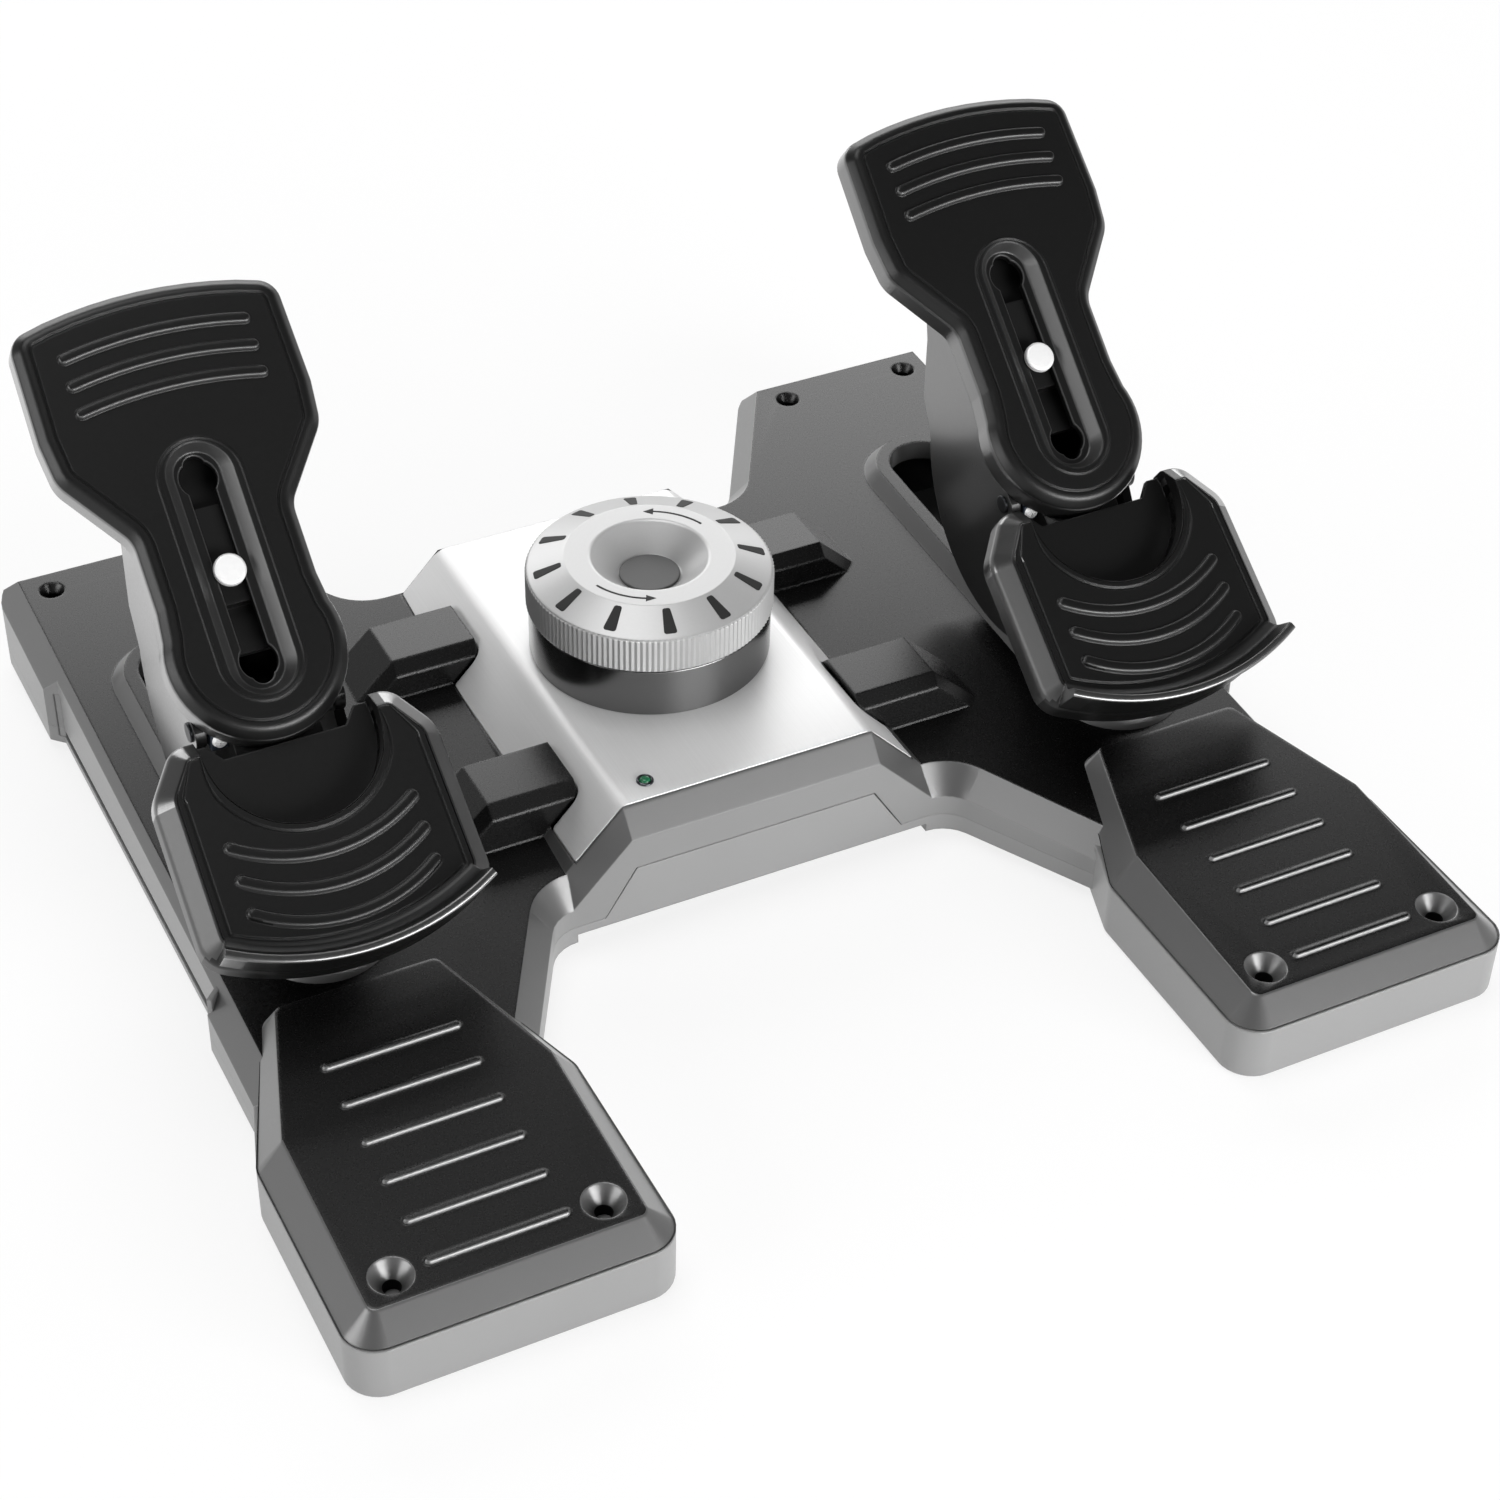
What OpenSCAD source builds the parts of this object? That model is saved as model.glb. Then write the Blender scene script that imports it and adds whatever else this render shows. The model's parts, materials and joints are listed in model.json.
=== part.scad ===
// Rudder pedals for a flight simulator: a low H-shaped base with two foot
// rests, a tension knob on a bright centre panel, and two pedals that slide
// fore and aft on a parallelogram linkage and tip at the toe.
// Origin: middle of the base on the floor. X across, Y away from the user, Z up.

/* [Base] */
// Depth of the base from front wall to rear wall
base_depth = 398; // [386:1:410]
// Distance from the middle plane to the centre of each wing
wing_x = 155; // [152:1:160]
// Thickness of the moulded walls
wall = 3; // [2.4:0.1:3.4]
// Slope of the foot decks in degrees
deck_pitch = 2.45; // [1.5:0.05:3]
// Height of the deck plane at the middle of the depth
deck_z = 31; // [30:0.5:33]
// Height of the lower edge of the case above the floor
case_clear = 4; // [3:0.5:5]
// Height of the seam between lower and upper case
seam_z = 11; // [10.4:0.2:11.6]
// Horizontal width of the bevel round the deck
deck_bevel_w = 7.5; // [5:0.5:9]
// Drop of the bevel round the deck
deck_bevel_h = 9.3; // [7:0.1:11]
// Half width of a wing outboard of its centre
wing_out_w = 44.5; // [43:0.5:46]
// Rounding of the outer corners of the case
case_corner_r = 9; // [5:1:12]
// Rounding of the inner corners between bridge and wings
bay_corner_r = 14; // [8:1:18]
// Depth of the shallow step in the outer side walls
side_step = 4.5; // [2:0.5:6]

/* [Bridge and panel] */
// Front wall of the bridge, ahead of the middle
bridge_front = 45.2; // [43:0.2:48]
// Rear wall of the bridge, behind the middle
bridge_rear = 134.8; // [132:0.2:138]
// Height of the flat top of the centre panel
panel_top = 52.1; // [50:0.1:55]
// Half width of the flat top of the centre panel
panel_flat_w = 47.9; // [47:0.1:50]
// Side slope of the centre panel in degrees
panel_slope = 46.5; // [44:0.5:50]
// Half width of the panel over both slopes
panel_half_w = 65.5; // [64.5:0.1:66.5]
// Thickness of the panel sheet
panel_t = 1.6; // [1.2:0.1:2]
// Raised middle part of the floor
bridge_lift = 3.5; // [2.5:0.5:4]
// Height of the seam step in the front wall
seam_step = 18.6; // [14:0.2:20]
// Half width of the seam step at its top
seam_step_w = 46; // [40:1:48]

/* [Knob] */
// Distance of the knob axis behind the middle
knob_y = 42.5; // [40:0.5:45]
// Radius of the black collar
collar_r = 43.5; // [41:0.5:44]
// Height of the collar above the panel
collar_h = 18.9; // [17:0.1:21]
// Radius over the knurl
knob_r = 44.4; // [44.2:0.1:46]
// Height of the knurled side
knob_side_h = 13.7; // [12:0.1:15]
// Height of the whole knob
knob_h = 19.1; // [18:0.1:21]
// Number of knurl teeth
knurl_count = 120; // [90:1:140]
// Depth of the knurl
knurl_d = 0.6; // [0.4:0.1:0.8]
// Outer radius of the flat scale band
band_r = 30.5; // [29:0.1:32]
// Inner radius of the flat scale band
dish_r = 21.3; // [20:0.1:23]
// Radius of the cap in the dish
cap_r = 11.2; // [10:0.1:12]
// Depth of the dish
dish_d = 8.7; // [7:0.1:9.5]
// Number of scale ticks
tick_count = 12; // [8:1:16]

/* [Foot rests] */
// Half width of a foot rest over its bevels
rest_half_w = 54.3; // [53:0.1:55.5]
// Width of the bevel round the top of a foot rest
rest_bevel = 8.9; // [7:0.1:10]
// Rise of the foot rest plane above the deck plane
rest_rise = 7.3; // [6:0.1:9]
// Distance from the middle of the base forward to the rear edge of a foot rest
rest_back = 63; // [60:1:66]
// Length of the parallel stretch of the foot rest
rest_straight = 82; // [78:1:88]
// Half width of the rear edge of the foot rest
rest_end_w = 28; // [24:1:32]
// Height of the seam round the foot rest
rest_seam = 21.7; // [20:0.1:23]
// Number of grip ribs on a foot rest
rest_ribs = 6; // [4:1:6]
// Spacing of the grip ribs
rest_rib_pitch = 17.04; // [15:0.01:18]
// Length of a grip rib
rest_rib_l = 47.4; // [40:0.1:52]
// Half spacing of the screw holes in a foot rest
rest_hole_w = 34.6; // [33:0.1:36]
// Half spacing of the screw holes at the rear of a wing
wing_hole_w = 26.9; // [25:0.1:28]
// Radius of the floor screw holes
floor_hole_r = 2.75; // [2:0.05:3]

/* [Hoods and slots] */
// Fore and aft distance of the linkage pivots from the knob axis
pivot_gap = 44; // [43:0.5:45]
// Width of a hood fore and aft
hood_l = 31; // [28:1:33]
// Height of the hood tops
hood_top = 48; // [46:0.5:49]
// Bevel along the long edges of a hood
hood_bevel = 4.5; // [3:0.5:6]
// Where a hood starts, beside the panel flat
hood_in = 55; // [54:0.5:57]
// Where the flat top of a hood ends
hood_out = 87; // [84:1:89]
// Where a hood meets the deck
hood_foot = 105; // [102:1:107]
// Half width of the pedal slot in the deck
slot_half_w = 14; // [13.6:0.1:15]
// Half length of the pedal slot
slot_half_l = 86; // [85:1:88]
// Width of the flat rim round the slot
rim_w = 5.5; // [4:0.1:6]
// Height of the rim above the deck
rim_h = 5; // [4:0.1:5.3]

/* [Linkage] */
// Thickness of the steel link bars
bar_t = 4; // [3:0.5:4.5]
// Width of the link bars
bar_w = 20; // [16:1:22]
// Radius of the eyes at the bar ends
eye_r = 11; // [10.5:0.5:12]
// Radius of the hubs in the middle of the bars
hub_r = 16; // [14.5:0.5:17]
// Radius of the two fixed pivot pins
pivot_r = 6; // [5:0.5:6.5]
// Radius of the carriage pins
link_pin_r = 4; // [3:0.1:4.5]
// Wall of the bronze bushes
bush_t = 2.5; // [2:0.1:3]
// Running clearance of the pins, on the radius
pin_fit = 0.06; // [0.02:0.01:0.1]
// Clearance of the open pivots at the rear bar, on the radius
open_fit = 0.4; // [0.3:0.1:0.6]
// Rudder swing of the bars to each side, in degrees
rudder_swing = 11; // [8:0.5:11.5]
// Half length of the carriage cover under the slot
cover_half_l = 78; // [76:1:80]
// Half width of the carriage cover
cover_half_w = 22; // [20:0.5:23]
// Radius of the tension spindle
spindle_r = 4; // [3.5:0.1:4.2]

/* [Pedal] */
// Inset of the pedal centre from the wing centre
pedal_inset = 1.2; // [0:0.1:1.5]
// Distance of the toe hinge behind the middle
hinge_y = 13.5; // [12.5:0.5:15]
// Height of the toe hinge
hinge_z = 92.5; // [92:0.5:95]
// Radius of the round rear shell about the toe hinge
drum_r = 53.7; // [52.5:0.1:53.9]
// Half width of the toe arm
toe_arm_w = 26; // [25:0.5:27]
// Thickness of the toe arm cheeks
cheek_t = 3.7; // [3:0.1:4]
// Radius of the hinge pin
hinge_pin_r = 3; // [2.5:0.1:3.2]
// Toe travel in degrees
toe_travel = 18; // [12:1:18]
// Half width of the neck through the slot
neck_half_w = 9; // [8:0.5:9.5]

/* [Toe plate] */
// Tilt of the toe plate from the floor in degrees
plate_tilt = 40; // [39.5:0.5:41]
// Depth of the toe plate from face to skirt edge
plate_d = 12.5; // [11.5:0.1:12.8]
// Bevel round the face of the toe plate
plate_bevel = 3.2; // [2:0.1:4]
// Radius of the round lower end of the face
plate_end_r = 27.3; // [26.5:0.1:28]
// Length from the round end centre to the top of the face
plate_len = 124.3; // [122:0.1:130]
// Half width at the waist of the face
waist_w = 24.4; // [24:0.1:26]
// Half width of the broad upper part of the face
plate_w = 43.8; // [42:0.1:46]
// Half width of the recess round the slot
recess_w = 11.5; // [11:0.1:13]
// Depth of the recess
recess_d = 4.5; // [3.5:0.1:4.8]
// Half width of the adjustment slot
key_w = 4.5; // [4:0.1:5]
// Radius of the round keyholes
key_r = 7; // [6:0.1:7.4]
// Adjustment travel of the toe plate along the arm
plate_travel = 31; // [20:1:31]
// Radius of the clamp screw head
clamp_head_r = 5.3; // [5:0.1:5.8]

/* [Heel cup] */
// Tilt of the heel cup from the floor in degrees
cup_tilt = 35; // [34:0.5:36]
// Half width of the cup face
cup_w = 43; // [41:0.1:44]
// Depth of the cup skirt
cup_d = 14; // [12:0.1:14.5]
// Bevel beside the cup face
cup_bevel = 6.5; // [5:0.1:7]
// Radius of the cut-out that clears the toe plate
cup_cut_r = 30; // [29.5:0.1:31]
// Radius of the curved front lip
lip_r = 88; // [84:1:92]
// Height of the lip above the cup face
lip_h = 10; // [7:0.5:11]

/* [Hidden] */
$fn = 72;

// Overrun of every cut past the faces that it opens
over = 1;
// Gap between parts that move past each other, and between parts that only rest together
run_gap = 0.8;
seat_gap = 0.3;
// Tall enough to cut away everything above or below a plane
tall = 400;

// Places along Y and Z that several parts share
front_y = -base_depth / 2;
rear_y = base_depth / 2;
rest_end_y = -rest_back;
case_lead = 37;
case_front_y = rest_end_y - case_lead;
front_pivot_y = knob_y - pivot_gap;
rear_pivot_y = knob_y + pivot_gap;
bridge_front_y = -bridge_front;
panel_front_y = bridge_front_y + 8;
panel_rear_y = bridge_rear - 8;
floor_z = case_clear + wall;
bridge_floor_z = floor_z + bridge_lift;
bar_z = bridge_floor_z + 2.5;
pedal_x = wing_x - pedal_inset;
case_out_x = wing_x + wing_out_w;
step_y0 = case_front_y + 59;
step_y1 = rear_y - 60;
deck_tan = tan(deck_pitch);

// Height of the deck plane at a given y
function deck_at(y) = deck_z + y * deck_tan;
// Height of the foot rest plane at a given y
function rest_at(y) = deck_at(y) + rest_rise;

// Plane geometry helpers
function unit(v) = v / norm(v);
function swing(v, a) = [v[0] * cos(a) - v[1] * sin(a), v[0] * sin(a) + v[1] * cos(a)];
function xy(p) = [p[0], p[1]];
function arc_at(p, q, s, r, n) =
    let (u = unit(p - q), w = unit(s - q), half = acos(u * w) / 2,
        mid = q + unit(u + w) * r / sin(half), start = q + u * r / tan(half) - mid,
        sweep = (180 - 2 * half) * sign(cross(-u, w)))
    [for (k = [0:n]) mid + swing(start, sweep * k / n)];
// Outline from corners [x, y, radius], each rounded by n steps
function rounded(c, n = 5) =
    [for (i = [0:len(c) - 1])
        let (q = xy(c[i]), p = xy(c[(i + len(c) - 1) % len(c)]), s = xy(c[(i + 1) % len(c)]))
        each (c[i][2] > 0 ? arc_at(p, q, s, c[i][2], n) : [q])];
// Outline moved inwards by d, for points that run anticlockwise
function inset(c, d) =
    [for (i = [0:len(c) - 1])
        let (q = c[i], p = c[(i + len(c) - 1) % len(c)], s = c[(i + 1) % len(c)],
            e = unit(q - p), f = unit(s - q), m = [-e[1], e[0]], n = [-f[1], f[0]])
        q + d * (m + n) / (1 + m * n)];
// Outline with its right half mirrored to the left, right half listed front to rear
function both_sides(c) =
    concat(c, [for (i = [len(c) - 1:-1:0]) if (abs(c[i][0]) > 0) [-c[i][0], c[i][1], c[i][2]]]);
// Outline moved sideways
// Rings in space: level, and following a plane that slopes in y
function level(c, z) = [for (p = c) [p[0], p[1], z]];
function on_slope(c, z0) = [for (p = c) [p[0], p[1], z0 + p[1] * deck_tan]];
// Points on a circle in a plane, between two angles
function fan(r, a0, a1, n) = [for (k = [0:n]) let (a = a0 + (a1 - a0) * k / n) [r * cos(a), r * sin(a)]];

// Length that the hollow rounding of corner i takes off its edges; other corners are overrun by the bevel
function trim_at(c, i, w) =
    let (q = xy(c[i]), u = unit(xy(c[(i + len(c) - 1) % len(c)]) - q), v = unit(xy(c[(i + 1) % len(c)]) - q))
    hollow(u, v) && c[i][2] > 0 ? c[i][2] / tan(acos(u * v) / 2) - bevel_lap : -w;
function hollow(u, v) = cross(-u, v) < 0;
bevel_step = 0.05;
bevel_lap = 0.3;
// Cuts a bevel, w wide and h deep, along chosen edges of a rounded outline whose top lies at z = 0
module edge_bevels(c, w, h, edges) {
    n = len(c);
    block = 2 * h;
    for (i = edges) {
        p = xy(c[i]);
        u = unit(xy(c[(i + 1) % n]) - p);
        t0 = trim_at(c, i, w);
        run = norm(xy(c[(i + 1) % n]) - p) - t0 - trim_at(c, (i + 1) % n, w);
        translate([p[0] + u[0] * t0, p[1] + u[1] * t0, -h]) rotate([0, 0, atan2(u[1], u[0])])
            rotate([atan(h / w), 0, 0]) translate([0, -block, 0]) cube([run, 2 * block, block]);
    }
    for (i = [0:n - 1]) {
        q = xy(c[i]);
        r = c[i][2];
        u = unit(xy(c[(i + n - 1) % n]) - q);
        v = unit(xy(c[(i + 1) % n]) - q);
        m = q + unit(u + v) * r / sin(acos(u * v) / 2);
        if (r > 0 && hollow(u, v)) translate([m[0], m[1], -2 * h]) cylinder(r1 = r - w - bevel_step, r2 = r + w - bevel_step, h = 2 * h);
    }
}

// Solid through rings of equal count, stacked along the axis that they circle anticlockwise
module loft(rings) {
    n = len(rings[0]);
    last = len(rings) - 1;
    sides = [for (k = [0:last - 1], i = [0:n - 1])
        let (a = k * n + i, b = k * n + (i + 1) % n) each [[a, a + n, b + n], [a, b + n, b]]];
    base = [for (i = [0:n - 1]) i];
    top = [for (i = [n - 1:-1:0]) last * n + i];
    polyhedron(points = [for (r = rings) each r], faces = concat([base, top], sides), convexity = 10);
}
// Outline given in Y and Z, extruded along X over a full width
module across(w) rotate([90, 0, 90]) linear_extrude(w, center = true) children();
// Outline given in X and Z, extruded from y0 to y1
module along(y0, y1) translate([0, y1, 0]) rotate([90, 0, 0]) linear_extrude(y1 - y0) children();
// Everything below the deck plane, raised by dz
module under_deck(dz = 0) {
    translate([0, 0, deck_z + dz]) rotate([deck_pitch, 0, 0])
        translate([-tall, -tall, -tall]) cube([2 * tall, 2 * tall, tall]);
}
module at_wings() for (s = [-1, 1]) translate([s * wing_x, 0, 0]) children();
module at_pedal(s) translate([s * pedal_x, 0, 0]) children();
module mirrored() for (s = [0, 1]) mirror([s, 0, 0]) children();
module tube(r, bore, z0, z1) {
    difference() {
        translate([0, 0, z0]) cylinder(r = r, h = z1 - z0);
        translate([0, 0, z0 - over]) cylinder(r = bore, h = z1 - z0 + 2 * over);
    }
}
module disc(r, z0, z1) translate([0, 0, z0]) cylinder(r = r, h = z1 - z0);
// Stadium in the plane: half width w, from y0 to y1 over its round ends
module stadium(w, y0, y1) {
    for (y = [y0 + w, y1 - w]) translate([0, y]) circle(r = w);
    translate([-w, y0 + w]) square([2 * w, y1 - y0 - 2 * w]);
}

// Case outline
bay_front_x = wing_x / 2 - 0.5;
bay_front_slant = 0.56;
bay_rear_slant = 0.572;
nose_x = bay_front_x + (bridge_front_y - case_front_y) * bay_front_slant;
tail_x = wing_x - 40.3;
function case_corners() = both_sides([
    [0, bridge_front_y, 0],
    [bay_front_x, bridge_front_y, bay_corner_r],
    [nose_x, case_front_y, 0],
    [case_out_x, case_front_y, 0],
    [case_out_x, rear_y, case_corner_r],
    [tail_x, rear_y, case_corner_r],
    [tail_x - (rear_y - bridge_rear) * bay_rear_slant, bridge_rear, bay_corner_r],
    [0, bridge_rear, 0]]);
case_line = rounded(case_corners());
// Edges of the outline that carry a bevel round the deck, as indices of their first corner
bevel_edges = [0, 1, 3, 4, 5, 6, 7, 8, 9, 10, 12, 13];
// Cross-section of the raised bridge, dropped by dz, with its feet at foot_z
function bridge_profile(dz, foot_z, grow = 0) =
    let (w = panel_flat_w - grow * tan(panel_slope / 2), reach = (panel_top - dz - foot_z) / tan(panel_slope))
    [[w + reach, foot_z], [w, panel_top - dz], [-w, panel_top - dz], [-w - reach, foot_z]];
bridge_foot_z = seam_z + 4;
bridge_bevel_h = 9.5;
// Cuts the bevel along one edge of a ridge: over its flat top and down its side slope on side k.
// The edge lies at y, dir tells which way is outside, w and h are the bevel's width and drop.
module ridge_cut(x, y, z, dir, k, w, h, slope) {
    block = 2 * wing_x;
    translate([x, y, z]) {
        rotate([-dir * atan(h / w), 0, 0])
            translate([k > 0 ? -block : -over, dir > 0 ? 0 : -block / 2, 0]) cube([block + over, block / 2, block / 4]);
        rotate([0, k * slope, 0]) rotate([-dir * atan(h * cos(slope) / w), 0, 0])
            translate([k > 0 ? -over : over - block, dir > 0 ? 0 : -block / 2, 0]) cube([block, block / 2, block / 4]);
    }
}
module bridge_block(d, foot_z) {
    difference() {
        along(bridge_front_y + d, bridge_rear - d) polygon(bridge_profile(d, foot_z));
        for (k = [-1, 1]) {
            x = k * (panel_flat_w - d * tan(panel_slope / 2));
            ridge_cut(x, panel_front_y, panel_top - d, -1, k, panel_front_y - bridge_front_y, bridge_bevel_h, panel_slope);
            ridge_cut(x, panel_rear_y, panel_top - d, 1, k, bridge_rear - panel_rear_y, bridge_bevel_h, panel_slope);
        }
    }
}
// Body under the decks with its bevel, and the room inside it
module deck_block() {
    difference() {
        intersection() {
            translate([0, 0, seam_z]) linear_extrude(tall) polygon(case_line);
            under_deck();
        }
        translate([0, 0, deck_z]) rotate([deck_pitch, 0, 0]) edge_bevels(case_corners(), deck_bevel_w, deck_bevel_h, bevel_edges);
    }
}
module deck_room() {
    intersection() {
        translate([0, 0, -over]) linear_extrude(tall) polygon(inset(case_line, deck_bevel_w + 1));
        under_deck(-wall);
    }
    intersection() {
        translate([0, 0, -over]) linear_extrude(tall) polygon(inset(case_line, wall));
        under_deck(-deck_bevel_h - 1);
    }
}
// Stretch cut from the outer side walls, with slanted ends
module side_steps(d, z1) {
    mirrored() translate([0, 0, -over]) linear_extrude(z1 + over)
        polygon([[case_out_x - side_step - d, step_y0 + side_step + d],
            [case_out_x + over, step_y0 + d - over], [case_out_x + over, step_y1 - d + over],
            [case_out_x - side_step - d, step_y1 - side_step - d]]);
}
hood_slope = atan((hood_top - deck_z) / (hood_foot - hood_out));
// Hood on the right side: flat top, sloping end and bevelled long edges
module hood(y) {
    low = deck_z - wall;
    difference() {
        along(y - hood_l / 2, y + hood_l / 2) polygon([[hood_in, low],
            [hood_foot + wall / tan(hood_slope), low], [hood_out, hood_top], [hood_in, hood_top]]);
        for (dir = [-1, 1])
            ridge_cut(hood_out, y + dir * (hood_l / 2 - hood_bevel), hood_top, dir, 1, hood_bevel, hood_bevel, hood_slope);
    }
}
module hoods() mirrored() for (y = [front_pivot_y, rear_pivot_y]) hood(y);

// Screw places: case screws from below, as [x, y] on the right side
screw_r = 1.6;
screw_head_r = 3;
screw_head_h = 2;
screw_boss_r = 4;
screw_inset = wall + screw_boss_r + side_step + 1.5;
screw_places = [[case_out_x - screw_inset, case_front_y + 16], [case_out_x - screw_inset, knob_y],
    [case_out_x - screw_inset, rear_y - 50], [nose_x + 9, case_front_y + 16], [wing_x - 62, bridge_rear - 10]];
module at_screws() mirrored() for (p = screw_places) translate(p) children();
floor_boss_r = 6;
rear_hole_y = rear_y - 17.7;
rest_hole_y = front_y + 19.1;
module at_wing_holes() at_wings() for (s = [-1, 1]) translate([s * wing_hole_w, rear_hole_y]) children();
module at_rest_holes(s) {
    translate([s * wing_x, rest_hole_y]) for (k = [-1, 1]) translate([k * rest_hole_w, 0]) children();
}
sink_r = 4.8;
sink_h = 3.5;
rest_sink_r = 6.8;
rest_sink_h = 5.5;
module sink(r, h, z) {
    translate([0, 0, z - h]) cylinder(r1 = floor_hole_r, r2 = r, h = h);
    disc(r, z - h / 100, z + 2 * h);
    disc(floor_hole_r, -over, z);
}

// Front tab of the lower case that fills the seam step
module seam_tab(c) {
    drop_w = seam_step * 0.65;
    along(bridge_front_y - c * over, bridge_front_y + wall + c * over)
        polygon([[seam_step_w + drop_w + c, seam_z - seat_gap], [seam_step_w + c, seam_z + seam_step + c],
            [-seam_step_w - c, seam_z + seam_step + c], [-seam_step_w - drop_w - c, seam_z - seat_gap]]);
}
post_base_r = 11;
post_base_z = bar_z - 1;
gland_r = 5;
gland_z = case_clear + bridge_lift + 11;
module gland_hole() {
    translate([0, bridge_rear - wall - over, gland_z]) rotate([-90, 0, 0]) cylinder(r = gland_r, h = wall + 2 * over);
}

module lower_case() {
    color("#2b2b2d") difference() {
        union() {
            difference() {
                translate([0, 0, case_clear]) linear_extrude(seam_z - case_clear) polygon(case_line);
                translate([0, 0, bridge_floor_z]) linear_extrude(tall) polygon(inset(case_line, wall));
                translate([0, 0, floor_z]) linear_extrude(tall) difference() {
                    polygon(inset(case_line, wall));
                    translate([-bridge_w - wall, front_y]) square([2 * (bridge_w + wall), base_depth]);
                }
                translate([-bridge_w, front_y, -over]) cube([2 * bridge_w, base_depth, case_clear + bridge_lift + over]);
            }
            seam_tab(0);
            at_screws() disc(screw_boss_r, floor_z - seat_gap, seam_z);
            at_wing_holes() disc(floor_boss_r, floor_z - seat_gap, seam_z);
            for (y = [front_pivot_y, rear_pivot_y]) translate([0, y]) disc(post_base_r, bridge_floor_z - seat_gap, post_base_z);
            translate([0, knob_y]) disc(post_base_r, bridge_floor_z - seat_gap, post_base_z);
            for (p = plate_posts) translate(p) disc(plate_post_r, bridge_floor_z - seat_gap, plate_z);
        }
        side_steps(0, tall);
        at_screws() {
            disc(screw_r, -over, tall);
            disc(screw_head_r, -over, case_clear + screw_head_h);
        }
        at_wing_holes() disc(floor_hole_r, -over, tall);
        for (y = [front_pivot_y, rear_pivot_y]) translate([0, y]) disc(pivot_r, bridge_floor_z, tall);
        translate([0, knob_y]) disc(spindle_r + pin_fit, bridge_floor_z, tall);
        gland_hole();
    }
}
// Width of the raised part of the floor, each side of the middle
bridge_w = panel_half_w + 3;
// Chassis plate over the pivots, on four posts
plate_z = bar_z + bar_t + 9;
plate_t = 2.5;
plate_half_w = 30;
plate_half_l = pivot_gap + 27;
plate_post_r = 3.5;
plate_posts = [for (x = [-1, 1], y = [-1, 1]) [x * (plate_half_w - 8), knob_y + y * (plate_half_l - 5)]];

module upper_case() {
    color("#262628") difference() {
        union() {
            difference() {
                union() {
                    difference() {
                        deck_block();
                        side_steps(0, tall);
                    }
                    bridge_block(0, bridge_foot_z);
                    hoods();
                }
                difference() {
                    union() {
                        deck_room();
                        bridge_block(wall + panel_t, bridge_foot_z - wall);
                        hoods_way();
                    }
                    side_steps(wall, tall);
                }
            }
            at_wings() slot_rim();
            intersection() {
                union() {
                    at_screws() disc(screw_boss_r, seam_z + seat_gap, tall);
                    at_wing_holes() disc(floor_boss_r, seam_z + seat_gap, tall);
                }
                under_deck(-wall / 2);
            }
        }
        panel_sheet(seat_gap);
        at_wings() translate([0, knob_y]) linear_extrude(tall) stadium(slot_half_w, -slot_half_l, slot_half_l);
        at_screws() disc(screw_r, -over, screw_top);
        at_wing_holes() sink(sink_r, sink_h, deck_at(rear_hole_y));
        translate([0, knob_y]) disc(spindle_well_r, bridge_foot_z, tall);
        translate([led_x, led_y]) disc(led_r + seat_gap, bridge_foot_z, tall);
        seam_tab(seat_gap);
        gland_hole();
        translate([0, 0, seam_z - tall]) cube([2 * tall, 2 * tall, 2 * tall], center = true);
    }
}
screw_top = deck_at(case_front_y) - wall - 5;
spindle_well_r = 13;
// Opens the wall between hood and deck so that the hoods are hollow caps
module hoods_way() {
    mirrored() for (y = [front_pivot_y, rear_pivot_y]) translate([hood_in + 2 * wall, y - hood_l / 2 + 2 * wall, seam_z + wall])
        cube([hood_out - hood_in - 3 * wall, hood_l - 4 * wall, hood_top - seam_z - 3 * wall]);
}
// Raised rim round a slot, with a sloping outer edge, in the frame of the deck
module slot_rim() {
    w = slot_half_w + rim_w;
    foot = rim_slope_w * (1 + wall / 2 / rim_h);
    low = -wall / 2;
    run = slot_half_l - slot_half_w;
    translate([0, knob_y, deck_at(knob_y)]) rotate([deck_pitch, 0, 0]) {
        for (y = [-run, run]) translate([0, y, low]) cylinder(r1 = w + foot, r2 = w, h = rim_h - low);
        along(-run, run) polygon([[w + foot, low], [w, rim_h], [-w, rim_h], [-w - foot, low]]);
    }
}
rim_slope_w = 4.5;

// Sheet over the bridge, grown by c to cut its seat
module panel_sheet(c) {
    foot = deck_z - 2 * wall;
    difference() {
        along(panel_front_y - c, panel_rear_y + c) polygon(bridge_profile(-c, foot));
        along(panel_front_y - 2 * over, panel_rear_y + 2 * over)
            polygon(bridge_profile(panel_t / cos(panel_slope / 2) + c, foot - 2 * over, panel_t));
        mirrored() translate([panel_half_w + c, panel_front_y - over, 0]) cube([tall, base_depth, tall]);
        if (c == 0) under_deck(seat_gap);
    }
}
led_x = -35.3;
led_y = panel_front_y + 8.7;
led_r = 2.2;
module centre_panel() {
    notch = run_gap;
    color("#c9cacc") difference() {
        panel_sheet(0);
        mirrored() for (y = [front_pivot_y, rear_pivot_y])
            translate([0, y]) linear_extrude(tall) polygon(rounded([
                [hood_in - notch, -hood_l / 2 - notch, 4], [2 * hood_foot, -hood_l / 2 - notch, 0],
                [2 * hood_foot, hood_l / 2 + notch, 0], [hood_in - notch, hood_l / 2 + notch, 4]]));
        translate([0, knob_y]) disc(spindle_well_r, 0, tall);
        translate([led_x, led_y]) disc(led_r + seat_gap, 0, tall);
    }
}

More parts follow.
